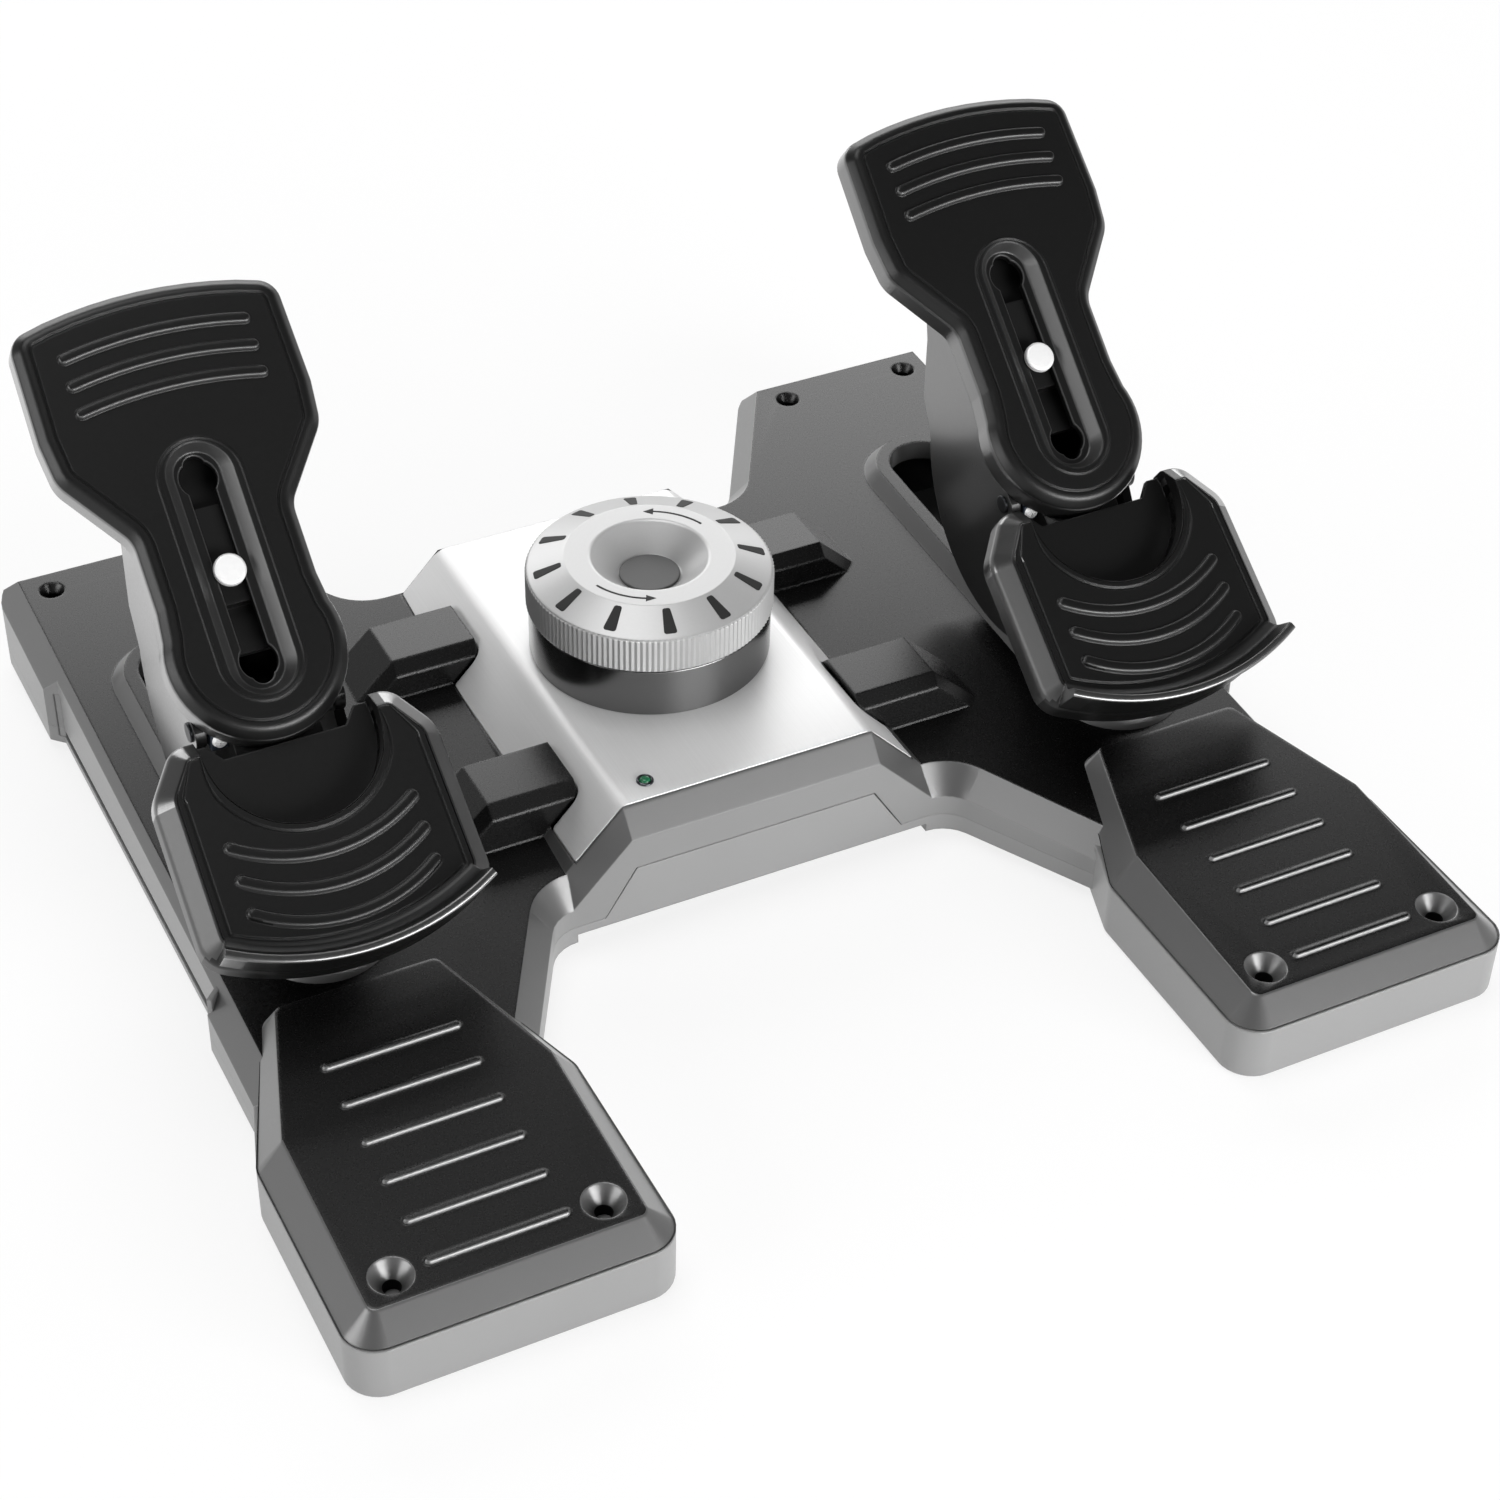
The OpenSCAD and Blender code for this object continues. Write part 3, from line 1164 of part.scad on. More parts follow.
key_l = 64;
key_t1 = key_t0 + key_l;
key_nib = 4.4;
module toe_plate(s) {
    floor_n = -recess_d - wall;
    color("#222224") on_plate(s) difference() {
        union() {
            difference() {
                plate_block();
                translate([0, 0, -plate_d - over]) linear_extrude(plate_d + over - plate_wall - 0.2)
                    polygon(inset(plate_out_line, plate_wall));
            }
            translate([0, 0, floor_n]) linear_extrude(-floor_n - over)
                stadium(recess_w + wall, recess_t0 - wall, recess_t1 + wall);
            for (k = [-1:1]) arc_rib(plate_top_r, cup_rib_half, plate_top_t - 14.6 - (1 - k) * 9.7 + 9.7, 1.9, rib_h, true);
        }
        recess_cut();
        translate([0, 0, floor_n - over]) linear_extrude(tall) {
            stadium(key_w, key_t0 - key_r + 1, key_t1 + key_r - 1);
            for (t = [key_t0, key_t1]) translate([0, t]) circle(r = key_r);
            translate([0, key_t0 - key_r]) circle(r = key_nib);
            translate([0, key_t1 + key_r]) circle(r = key_nib);
        }
    }
}
// Recess with sloping sides down to its floor
module recess_cut() {
    for (t = [recess_t0 + recess_w, recess_t1 - recess_w]) translate([0, t, -recess_d])
        cylinder(r1 = recess_w - recess_lean, r2 = recess_w + recess_lean * over / recess_d, h = recess_d + over);
    translate([0, 0, -recess_d]) along(recess_t0 + recess_w, recess_t1 - recess_w) polygon([
        [recess_w - recess_lean, 0], [recess_w + recess_lean * over / recess_d, recess_d + over],
        [-recess_w - recess_lean * over / recess_d, recess_d + over], [recess_lean - recess_w, 0]]);
}
recess_lean = 1.5;
module left_toe_plate() toe_plate(-1);
module right_toe_plate() toe_plate(1);

lower_case();
upper_case();
left_rest_base();
right_rest_base();
left_foot_rest();
right_foot_rest();
rest_weights();
centre_panel();
knob_collar();
tension_knob();
knob_cap();
knob_ticks();
tension_spindle();
pressure_nut();
friction_washers();
bearing_plate();
front_pivot_pin();
rear_pivot_pin();
centring_spring();
rudder_sensor();
circuit_board();
power_led();
led_bezel();
cable_gland();
rubber_feet();
case_screws();
front_bar();
front_bar_bushes();
rear_bar();
rear_bar_bush();
left_carriage();
right_carriage();
left_carriage_pins();
right_carriage_pins();
left_glide_pads();
right_glide_pads();
left_pedal_arm();
right_pedal_arm();
left_heel_cup();
right_heel_cup();
left_hinge_pin();
right_hinge_pin();
left_brake_spring();
right_brake_spring();
left_brake_sensor();
right_brake_sensor();
left_sensor_screw();
right_sensor_screw();
left_toe_arm();
right_toe_arm();
left_clamp_screw();
right_clamp_screw();
left_toe_plate();
right_toe_plate();
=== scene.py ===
"""Flight simulator rudder pedals: fine shapes, finishes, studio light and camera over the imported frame."""
from __future__ import annotations

import json
import logging
import math
from dataclasses import dataclass, field, replace
from enum import Enum
from typing import Callable, Iterable, Sequence

import bmesh
import bpy
from mathutils import Matrix, Vector

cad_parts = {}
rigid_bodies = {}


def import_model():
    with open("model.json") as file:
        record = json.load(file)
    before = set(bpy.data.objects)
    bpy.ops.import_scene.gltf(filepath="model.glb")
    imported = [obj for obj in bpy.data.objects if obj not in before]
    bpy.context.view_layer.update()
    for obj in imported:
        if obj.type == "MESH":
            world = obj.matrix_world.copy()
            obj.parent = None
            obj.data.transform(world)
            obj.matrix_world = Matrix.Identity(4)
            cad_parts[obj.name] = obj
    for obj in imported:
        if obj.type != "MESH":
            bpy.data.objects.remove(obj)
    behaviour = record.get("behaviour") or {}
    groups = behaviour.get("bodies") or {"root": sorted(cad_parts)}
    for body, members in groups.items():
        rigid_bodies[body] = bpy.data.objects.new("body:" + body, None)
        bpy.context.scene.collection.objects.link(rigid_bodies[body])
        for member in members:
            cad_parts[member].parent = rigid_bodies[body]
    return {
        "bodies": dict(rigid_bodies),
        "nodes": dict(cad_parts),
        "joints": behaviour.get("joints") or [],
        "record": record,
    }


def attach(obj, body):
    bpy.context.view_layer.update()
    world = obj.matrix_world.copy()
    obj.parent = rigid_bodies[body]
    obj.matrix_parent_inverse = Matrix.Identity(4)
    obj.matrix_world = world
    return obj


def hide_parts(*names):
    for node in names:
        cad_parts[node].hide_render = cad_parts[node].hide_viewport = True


LOG = logging.getLogger("pedals")
MM = 0.001
# Distances at which vertices are welded, in millimetres and, for carried-over meshes, in metres.
WELD_MM = 1e-4
WELD_M = 1e-6
# Edges of carried-over meshes that turn by more, in degrees, stay sharp.
CAD_SHARP = 24.0
# Sine of a turn below which two edges count as one line.
STRAIGHT = 1e-3
# Upright part of a normal: above LEVEL a face is a deck, below DOWNWARD it is an underside.
LEVEL = 0.93
DOWNWARD = -0.2

Point = tuple[float, float]
Corner = tuple[float, float, float]
Loop = list[Point]
Height = float | Callable[[float, float], float]
Paint = Callable[[Vector, Vector], int]
Ring = list[bmesh.types.BMVert]


class Side(Enum):
    """The two pedals, with the sign of their X."""

    LEFT = -1
    RIGHT = 1

    @property
    def word(self) -> str:
        """Prefix of this side's node and body names."""
        return self.name.lower()


# Finishes


def linear(colour: str) -> tuple[float, float, float, float]:
    """Turns an sRGB hex colour into linear RGBA.

    Args:
        colour: six hex digits after a hash sign.

    Returns:
        Linear red, green, blue and an alpha of 1.
    """
    parts = [int(colour[i:i + 2], 16) / 255 for i in (1, 3, 5)]
    lin = [c / 12.92 if c <= 0.04045 else ((c + 0.055) / 1.055) ** 2.4 for c in parts]
    return (lin[0], lin[1], lin[2], 1.0)


def add_node(tree: bpy.types.NodeTree, kind: str, settings: dict | None = None,
             links: dict | None = None) -> bpy.types.Node:
    """Adds a node with its settings and incoming links.

    Args:
        tree: the node tree.
        kind: the node's type name.
        settings: attributes by name, or socket values by "in:" and the socket's name or number.
        links: output sockets by the input's name or number.

    Returns:
        The new node.
    """
    node = tree.nodes.new(kind)
    for key, value in (settings or {}).items():
        if key.startswith("in:"):
            name = key[3:]
            node.inputs[int(name) if name.isdigit() else name].default_value = value
        else:
            setattr(node, key, value)
    for key, source in (links or {}).items():
        tree.links.new(source, node.inputs[key])
    return node


@dataclass
class Shading:
    """A material in the making: its node tree, its Principled BSDF and its Object coordinates."""

    tree: bpy.types.NodeTree
    shader: bpy.types.Node
    place: bpy.types.NodeSocket

    def add(self, kind: str, settings: dict | None = None, links: dict | None = None) -> bpy.types.NodeSocket:
        """Adds a node and returns its first output."""
        return add_node(self.tree, kind, settings, links).outputs[0]

    def feed(self, name: str, source: bpy.types.NodeSocket) -> None:
        """Links a socket into the Principled BSDF."""
        self.tree.links.new(source, self.shader.inputs[name])


@dataclass(frozen=True)
class Finish:
    """A surface finish: what the real material is, and the numbers of its shader."""

    name: str
    slot: str
    colour: str
    roughness: float = 0.5
    metallic: float = 0.0
    specular: float = 0.5
    grain_mm: float = 0.9
    grain_depth: float = 0.02
    grain_roughness: float = 0.06
    mottle: float = 0.08
    mottle_mm: float = 45.0
    edge_mm: float = 0.8
    coat: float = 0.0
    coat_roughness: float = 0.2

    def material(self) -> bpy.types.Material:
        """Builds the finish's material.

        Returns:
            The material, the same one on every call.
        """
        ready = bpy.data.materials.get(self.name)
        if ready is not None:
            return ready
        mat = bpy.data.materials.new(self.name)
        mat.use_nodes = True
        mat.diffuse_color = linear(self.colour)
        tree = mat.node_tree
        tree.nodes.clear()
        shader = add_node(tree, "ShaderNodeBsdfPrincipled", {
            "in:Metallic": self.metallic, "in:Specular IOR Level": self.specular,
            "in:Coat Weight": self.coat, "in:Coat Roughness": self.coat_roughness, "in:Coat IOR": 1.7})
        add_node(tree, "ShaderNodeOutputMaterial", links={"Surface": shader.outputs["BSDF"]})
        self.dress(Shading(tree, shader, add_node(tree, "ShaderNodeTexCoord").outputs["Object"]))
        return mat

    def dress(self, look: Shading) -> None:
        """Adds a fine moulded grain and a slow drift of tone.

        Args:
            look: the material.
        """
        fine = {"in:Scale": 1 / (self.grain_mm * MM), "in:Detail": 3.0, "in:Roughness": 0.6}
        slow = {"in:Scale": 1 / (self.mottle_mm * MM), "in:Detail": 2.0}
        grain, drift = (look.add("ShaderNodeTexNoise", kind, {"Vector": look.place}) for kind in (fine, slow))
        self.tone(look, drift)
        soft = look.add("ShaderNodeBevel", {"samples": 4, "in:Radius": self.edge_mm * MM})
        self.relief(look, grain, 0.5, {"Normal": soft})

    def relief(self, look: Shading, height: bpy.types.NodeSocket, strength: float,
               links: dict | None = None) -> None:
        """Lets a 0 to 1 height drive roughness and bump.

        Args:
            look: the material.
            height: the height.
            strength: the bump's strength.
            links: further links into the bump.
        """
        low, high = self.roughness - self.grain_roughness, self.roughness + self.grain_roughness
        look.feed("Roughness", look.add("ShaderNodeMapRange", {"in:3": low, "in:4": high}, {0: height}))
        depth = {"in:Strength": strength, "in:Distance": self.grain_depth * MM}
        look.feed("Normal", look.add("ShaderNodeBump", depth, {"Height": height} | (links or {})))

    def tone(self, look: Shading, amount: bpy.types.NodeSocket) -> None:
        """Lets the base colour drift by the finish's mottle.

        Args:
            look: the material.
            amount: from 0, darkest, to 1.
        """
        base = linear(self.colour)
        ramp = add_node(look.tree, "ShaderNodeMix", {"data_type": "RGBA"}, {"Factor": amount})
        for number, gain in ((6, 1 - self.mottle), (7, 1 + self.mottle)):
            ramp.inputs[number].default_value = tuple(c * gain for c in base[:3]) + (1.0,)
        look.feed("Base Color", ramp.outputs[2])


@dataclass(frozen=True)
class BrushedMetal(Finish):
    """Metal drawn over a belt: fine straight scratches along one axis, in millimetres."""

    stroke_mm: tuple[float, float, float] = (60.0, 0.35, 0.35)

    def dress(self, look: Shading) -> None:
        """Adds the strokes to tone, roughness and relief.

        Args:
            look: the material.
        """
        scale = {"in:Scale": tuple(1 / (s * MM) for s in self.stroke_mm)}
        strokes = look.add("ShaderNodeTexNoise", {"in:Scale": 1.0, "in:Detail": 4.0, "in:Roughness": 0.65},
                           {"Vector": look.add("ShaderNodeMapping", scale, {"Vector": look.place})})
        self.tone(look, strokes)
        self.relief(look, strokes, 0.35)


@dataclass(frozen=True)
class LampLens(Finish):
    """Clear tinted plastic over a lamp."""

    glow: float = 0.12

    def dress(self, look: Shading) -> None:
        """Adds a faint even glow and a slight drift of tone.

        Args:
            look: the material.
        """
        scale = {"in:Scale": 1 / (self.grain_mm * MM)}
        self.tone(look, look.add("ShaderNodeTexNoise", scale, {"Vector": look.place}))
        for name, value in (("Roughness", self.roughness), ("Emission Color", linear(self.colour)),
                            ("Emission Strength", self.glow)):
            look.shader.inputs[name].default_value = value


# ABS with a fine spark-eroded grain on its upper faces: near black, with a broad soft gloss.
GRAINED_TOP = Finish("moulded_abs_grained", "case_black", "#070707", 0.27, grain_depth=0.006,
                     grain_roughness=0.02, mottle=0.15, edge_mm=1.3)
# The same ABS where the mould was polished, on bevels and walls, with painted light: its charcoal colour, far
# paler than the near-black decks, stands in for the light these faces catch.
SATIN_WALL_PAINTED_LIGHT = Finish("moulded_abs_satin_wall", "case_black", "#424242", 0.36, specular=0.8, grain_mm=1.4,
                    grain_depth=0.008, mottle=0.05, edge_mm=1.2, coat=0.9, coat_roughness=0.28)
# Front and side walls of the case, with painted light: a mid grey, paler than the bevels above them, stands
# in for the light on the black moulding.
CASE_WALL_PAINTED_LIGHT = Finish("moulded_abs_case_wall", "case_black", "#767676", 0.42, grain_mm=1.4, grain_depth=0.01,
                   mottle=0.05, edge_mm=1.0, coat=0.3, coat_roughness=0.3)
# Lower shell, with painted light: a grey paler still than the walls above the seam, standing in for the light
# on the dark moulding.
LOWER_SHELL_PAINTED_LIGHT = replace(CASE_WALL_PAINTED_LIGHT, name="moulded_abs_lower_shell", slot="case_dark", colour="#7e7e7e",
                     roughness=0.45)
# Painted shade: a dull black on shadow gaps, the inside of openings and parts seen through them, where shade
# falls.
SHADE_BLACK = Finish("moulded_abs_inside", "case_black", "#070707", 0.6, specular=0.2)
# Glass-filled nylon of the pedals: a matt black grain above, polished walls below, painted paler as painted
# light.
PEDAL_TOP = Finish("moulded_nylon_grained", "pedal_black", "#0a0a0a", 0.36, specular=0.4, grain_mm=0.8,
                   grain_depth=0.03, mottle=0.12)
PEDAL_WALL_PAINTED_LIGHT = Finish("moulded_nylon_satin_wall", "pedal_black", "#1a1a1a", 0.3, specular=1.0, grain_mm=1.2,
                    grain_depth=0.01, mottle=0.06, coat=1.0, coat_roughness=0.18)
# The same nylon on the heel cups' skirts and rib edges, a little less polished, and painted paler still as
# painted light.
CUP_WALL_PAINTED_LIGHT = Finish("moulded_nylon_cup_wall", "pedal_black", "#252525", 0.42, specular=0.6, grain_mm=1.2,
                  grain_depth=0.01, mottle=0.06, coat=0.35, coat_roughness=0.35)
# Silver lacquered, lightly brushed cover sheet.
PANEL_SILVER = BrushedMetal("brushed_aluminium_sheet", "panel_silver", "#e2e2e2", 0.42, 0.4,
                            grain_roughness=0.05, mottle=0.05, grain_depth=0.01, stroke_mm=(0.5, 90.0, 90.0))
# Turned and clear anodised knob.
KNOB_SILVER = BrushedMetal("turned_aluminium_knob", "panel_silver", "#b6b6b6", 0.4, 0.5,
                           grain_roughness=0.04, mottle=0.04, grain_depth=0.006, stroke_mm=(1.2, 1.2, 0.4))
# Black anodised, turned collar below the knob.
COLLAR_BLACK = BrushedMetal("black_anodised_collar", "collar_black", "#7c7c7c", 0.2, 1.0,
                            grain_roughness=0.04, mottle=0.06, grain_depth=0.004, stroke_mm=(1.5, 1.5, 0.3))
CAP_GREY = Finish("moulded_cap_grey", "cap_grey", "#545454", 0.5, grain_mm=0.8, grain_depth=0.015)
TICK_DARK = Finish("printed_tick_dark", "cap_grey", "#1c1c1c", 0.6, specular=0.3, grain_mm=0.8,
                   grain_depth=0.01)
# Zinc plated screw heads.
SCREW_BRIGHT = BrushedMetal("zinc_plated_screw", "screw_bright", "#efefef", 0.5, 0.5, mottle=0.05,
                            grain_depth=0.004, stroke_mm=(1.5, 1.5, 1.5))
LINK_STEEL = BrushedMetal("rolled_steel_bar", "link_steel", "#8b8d90", 0.38, 1.0, mottle=0.1,
                          grain_depth=0.02, stroke_mm=(40.0, 0.6, 0.6))
# Blacked steel of the toe hinge pins.
DARK_STEEL = BrushedMetal("blacked_steel_pin", "link_steel", "#3a3b3d", 0.35, 1.0, mottle=0.1,
                          grain_depth=0.01, stroke_mm=(0.6, 0.6, 20.0))
CAST_IRON = Finish("cast_iron_weight", "weight_iron", "#55565a", 0.7, 0.8, grain_mm=1.8, grain_depth=0.12,
                   mottle=0.2)
# Bushes, liners, electrics, lamp, feet and glides.
BUSH_BRONZE = BrushedMetal("turned_bronze_bush", "bush_bronze", "#b28a4c", 0.35, 1.0, mottle=0.1,
                           grain_depth=0.01, stroke_mm=(1.0, 1.0, 0.3))
LINER_BROWN = Finish("woven_friction_liner", "liner_brown", "#5a4636", 0.85, grain_mm=0.7, grain_depth=0.1,
                     mottle=0.25)
SENSOR_BLUE = Finish("moulded_sensor_blue", "sensor_blue", "#1b2430", 0.5, grain_mm=0.8)
BOARD_GREEN = Finish("glass_epoxy_board", "board_green", "#1f5a3a", 0.4, grain_mm=0.6, mottle=0.2,
                     mottle_mm=6.0)
LENS_GREEN = LampLens("tinted_lamp_lens", "lens_green", "#1c5f3f", 0.18, specular=0.6, grain_mm=1.0,
                      mottle=0.3)
BEZEL_DARK = BrushedMetal("plated_lamp_bezel", "screw_bright", "#5a5c60", 0.25, 1.0, mottle=0.08,
                          grain_depth=0.004, stroke_mm=(1.0, 1.0, 1.0))
RUBBER = Finish("moulded_rubber_foot", "rubber_black", "#1d1d1e", 0.8, specular=0.3, grain_mm=1.0,
                grain_depth=0.05)
GLIDE_WHITE = Finish("turned_acetal_glide", "glide_white", "#d8d4c8", 0.45, grain_mm=1.2, grain_depth=0.01)


# Mesh helpers


@dataclass
class Frame:
    """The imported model: its nodes, and the body of each."""

    nodes: dict[str, bpy.types.Object]
    body_of: dict[str, str]

    @classmethod
    def load(cls) -> "Frame":
        """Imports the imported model.

        Returns:
            The frame.
        """
        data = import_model()
        bodies = data["record"]["behaviour"]["bodies"]
        return cls(data["nodes"], {node: body for body, members in bodies.items() for node in members})

    def dress(self, finish: Finish, *names: str) -> None:
        """Gives carried-over nodes a finish, and keeps their meshes as they are.

        Args:
            finish: the finish of every face.
            names: the nodes.
        """
        for name in names:
            mesh = self.nodes[name].data
            mesh.materials.clear()
            mesh.materials.append(finish.material())
            LOG.info("dressed %s with %s", name, finish.name)


def polar(centre: Point, radius: float, angle: float) -> Point:
    """Point at a distance and an angle in degrees from a centre."""
    turn = math.radians(angle)
    return (centre[0] + radius * math.cos(turn), centre[1] + radius * math.sin(turn))


def arc(centre: Point, radius: float, start: float, end: float, steps: int) -> Loop:
    """Points on a circle from one angle to another, both included, in degrees."""
    return [polar(centre, radius, start + (end - start) * k / steps) for k in range(steps + 1)]


def circle(centre: Point, radius: float, count: int) -> Loop:
    """Some points all round a circle."""
    return arc(centre, radius, 0, 360 * (count - 1) / count, count - 1)


def rounded(corners: Sequence[Corner], steps: int) -> Loop:
    """Outline whose corners are rounded.

    Args:
        corners: x, y and radius, anticlockwise.
        steps: faces across each rounding.

    Returns:
        The outline.
    """
    out: Loop = []
    for i, (x, y, radius) in enumerate(corners):
        here = Vector((x, y))
        if radius <= 0:
            out.append((x, y))
            continue
        back = (Vector(corners[i - 1][:2]) - here).normalized()
        ahead = (Vector(corners[(i + 1) % len(corners)][:2]) - here).normalized()
        half = back.angle(ahead) / 2
        middle = here + (back + ahead).normalized() * (radius / math.sin(half))
        first = here + back * (radius / math.tan(half)) - middle
        sweep = (180 - 2 * math.degrees(half)) * (1 if back.x * ahead.y - back.y * ahead.x < 0 else -1)
        start = math.degrees(math.atan2(first.y, first.x))
        out += arc((middle.x, middle.y), radius, start, start + sweep, steps)
    return out


def inset(line: Loop, distance: float) -> Loop:
    """Outline moved inwards.

    Args:
        line: the outline, anticlockwise.
        distance: how far each edge moves.

    Returns:
        The new outline, with as many points.
    """
    out = []
    for i, point in enumerate(line):
        here = Vector(point)
        before = (here - Vector(line[i - 1])).normalized()
        after = (Vector(line[(i + 1) % len(line)]) - here).normalized()
        m, n = Vector((-before.y, before.x)), Vector((-after.y, after.x))
        cross = m.x * n.y - m.y * n.x
        if abs(cross) < STRAIGHT:
            shift = (m + n).normalized() * distance
        else:
            shift = Vector((n.y - m.y, m.x - n.x)) * (distance / cross)
        out.append((here.x + shift.x, here.y + shift.y))
    return out


def mixed(first: Loop, second: Loop, share: float) -> Loop:
    """Outline between two others of as many points."""
    return [(a[0] + (b[0] - a[0]) * share, a[1] + (b[1] - a[1]) * share) for a, b in zip(first, second)]


def sloped(height: float, slope: float) -> Height:
    """Height that rises along the second axis."""
    return lambda x, y: height + y * slope


def both_sides(corners: Sequence[Corner]) -> list[Corner]:
    """Corners of the right half, front to rear, followed by their mirror images."""
    return list(corners) + [(-x, y, r) for x, y, r in reversed(corners) if abs(x) > 0]


def stadium(half: float, low: float, high: float, steps: int) -> Loop:
    """Slot outline along the second axis, with round ends."""
    return arc((0, low + half), half, 180, 360, steps) + arc((0, high - half), half, 0, 180, steps)


def arc_band(radius: float, half: float, middle: float, width: float, up: bool) -> Loop:
    """Outline of a thin curved rib with round ends.

    Args:
        radius: radius of its centre line.
        half: half of its chord.
        middle: height of its middle.
        width: half of its width.
        up: whether it bulges upwards.

    Returns:
        The outline, anticlockwise.
    """
    a = math.degrees(math.asin(half / radius))
    centre = (0.0, middle - radius if up else middle + radius)
    base = 90.0 if up else -90.0
    outer = arc(centre, radius + width, base - a, base + a, 20)
    inner = arc(centre, radius - width, base + a, base - a, 20)
    far = arc(polar(centre, radius, base + a), width, base + a, base + a + 180, 6)[1:-1]
    near = arc(polar(centre, radius, base - a), width, base - a - 180, base - a, 6)[1:-1]
    return outer + far + inner + near


def eased(points: Sequence[tuple[float, ...]], steps: int = 3) -> Loop:
    """Open profile whose inner corners are rounded.

    Args:
        points: corners; the third number, where given, is a radius.
        steps: faces across each rounding.

    Returns:
        The rounded profile.
    """
    out: Loop = []
    for i, point in enumerate(points):
        radius = point[2] if len(point) > 2 else 0.0
        here = Vector(point[:2])
        if radius <= 0 or i in (0, len(points) - 1):
            out.append((here.x, here.y))
            continue
        start = here + (Vector(points[i - 1][:2]) - here).normalized() * radius
        end = here + (Vector(points[i + 1][:2]) - here).normalized() * radius
        for k in range(steps + 1):
            t = k / steps
            p = start * (1 - t) ** 2 + here * (2 * t * (1 - t)) + end * t ** 2
            out.append((p.x, p.y))
    return out


def sharpen(bm: bmesh.types.BMesh, angle: float) -> None:
    """Marks sharp edges.

    Args:
        bm: the mesh.
        angle: edges that turn by more, in degrees, are sharp.
    """
    for edge in bm.edges:
        if len(edge.link_faces) == 2 and edge.calc_face_angle(0.0) > math.radians(angle):
            edge.smooth = False


class Skin:
    """A mesh grown from outlines in millimetres, and moved to its place at the end."""

    def __init__(self, mesh: bmesh.types.BMesh | None = None) -> None:
        """Starts from a mesh, or from an empty one."""
        self.bm = mesh or bmesh.new()

    def ring(self, line: Loop, height: Height) -> Ring:
        """Adds a closed wire.

        Args:
            line: its outline.
            height: its height, or a function of the place.

        Returns:
            Its vertices in order.
        """
        up = height if callable(height) else sloped(height, 0.0)
        verts = [self.bm.verts.new((x, y, up(x, y))) for x, y in line]
        for i, vert in enumerate(verts):
            self.bm.edges.new((verts[i - 1], vert))
        return verts

    def grow(self, ring: Ring, line: Loop, height: Height) -> Ring:
        """Extrudes a wire to a new outline.

        Args:
            ring: the wire's vertices in order.
            line: as many new points.
            height: their height, or a function of the place.

        Returns:
            The new wire's vertices in the same order.
        """
        up = height if callable(height) else sloped(height, 0.0)
        edges = [self.bm.edges.get((ring[i - 1], vert)) for i, vert in enumerate(ring)]
        made = bmesh.ops.extrude_edge_only(self.bm, edges=edges)["geom"]
        fresh = {item for item in made if isinstance(item, bmesh.types.BMVert)}
        out = [next(e.other_vert(v) for e in v.link_edges if e.other_vert(v) in fresh) for v in ring]
        for vert, (x, y) in zip(out, line):
            vert.co = (x, y, up(x, y))
        return out

    def loft(self, levels: Iterable[tuple[Loop, Height]]) -> list[Ring]:
        """Grows a skin through outlines of as many points.

        Args:
            levels: the outlines, each with its height.

        Returns:
            The ring of each level.
        """
        rings: list[Ring] = []
        for line, height in levels:
            rings.append(self.grow(rings[-1], line, height) if rings else self.ring(line, height))
        return rings

    def stack(self, line: Loop, profile: Loop, slope: float = 0.0) -> tuple[Ring, Ring]:
        """Grows a skin through a profile of insets and heights.

        Args:
            line: the outline.
            profile: pairs of inset and height.
            slope: rise of the heights per unit of the second axis.

        Returns:
            The first and the last ring.
        """
        rings = self.loft([(inset(line, move), sloped(height, slope)) for move, height in profile])
        return rings[0], rings[-1]

    def block(self, line: Loop, profile: Loop, slope: float = 0.0) -> None:
        """Grows a skin through a profile of insets and heights, and closes both ends."""
        for ring in self.stack(line, profile, slope):
            self.cap(ring)

    def rib(self, line: Loop, height: float, base: float = 0.0, slope: float = 0.0,
            ease: float = 0.7) -> None:
        """Adds a rib with a rounded top, sunk a little into its surface.

        Args:
            line: its outline.
            height: how far it stands up.
            base: height of the surface.
            slope: rise of the surface per unit of the second axis.
            ease: size of the rounding.
        """
        self.block(line, [(0, base - 0.5), (0, base + height * 0.35), (ease * 0.3, base + height * 0.7),
                          (ease * 0.8, base + height * 0.93), (ease * 1.5, base + height)], slope)

    def sink(self, centre: Point, profile: Loop, slope: float) -> Ring:
        """Sinks a round hole and closes its end.

        Args:
            centre: the hole's middle.
            profile: pairs of radius and height, top first.
            slope: rise of the heights per unit of the second axis.

        Returns:
            The top ring, for the cap round it.
        """
        rings = self.loft([(circle(centre, radius, 32), sloped(height, slope)) for radius, height in profile])
        self.cap(rings[-1])
        return rings[0]

    def cap(self, *rings: Ring) -> None:
        """Fills the surface inside the first wire and outside the others."""
        edges = [self.bm.edges.get((ring[i - 1], vert)) for ring in rings for i, vert in enumerate(ring)]
        bmesh.ops.triangle_fill(self.bm, use_beauty=True, use_dissolve=False, edges=edges)

    def cut(self, place: Vector, normal: Vector, clear: bool = False) -> None:
        """Cuts every face along a plane.

        Args:
            place: a point of the plane.
            normal: the plane's normal.
            clear: whether what lies beyond the plane goes, and the opening is filled.
        """
        bm = self.bm
        everything = list(bm.verts) + list(bm.edges) + list(bm.faces)
        bmesh.ops.bisect_plane(bm, geom=everything, plane_co=place, plane_no=normal, clear_outer=clear)
        if clear:
            bmesh.ops.holes_fill(bm, edges=[edge for edge in bm.edges if edge.is_boundary])

    def absorb(self, other: bmesh.types.BMesh) -> None:
        """Takes over another mesh.

        Args:
            other: the mesh, which is freed.
        """
        bake = bpy.data.meshes.new("part")
        other.to_mesh(bake)
        other.free()
        self.bm.from_mesh(bake)
        bpy.data.meshes.remove(bake)

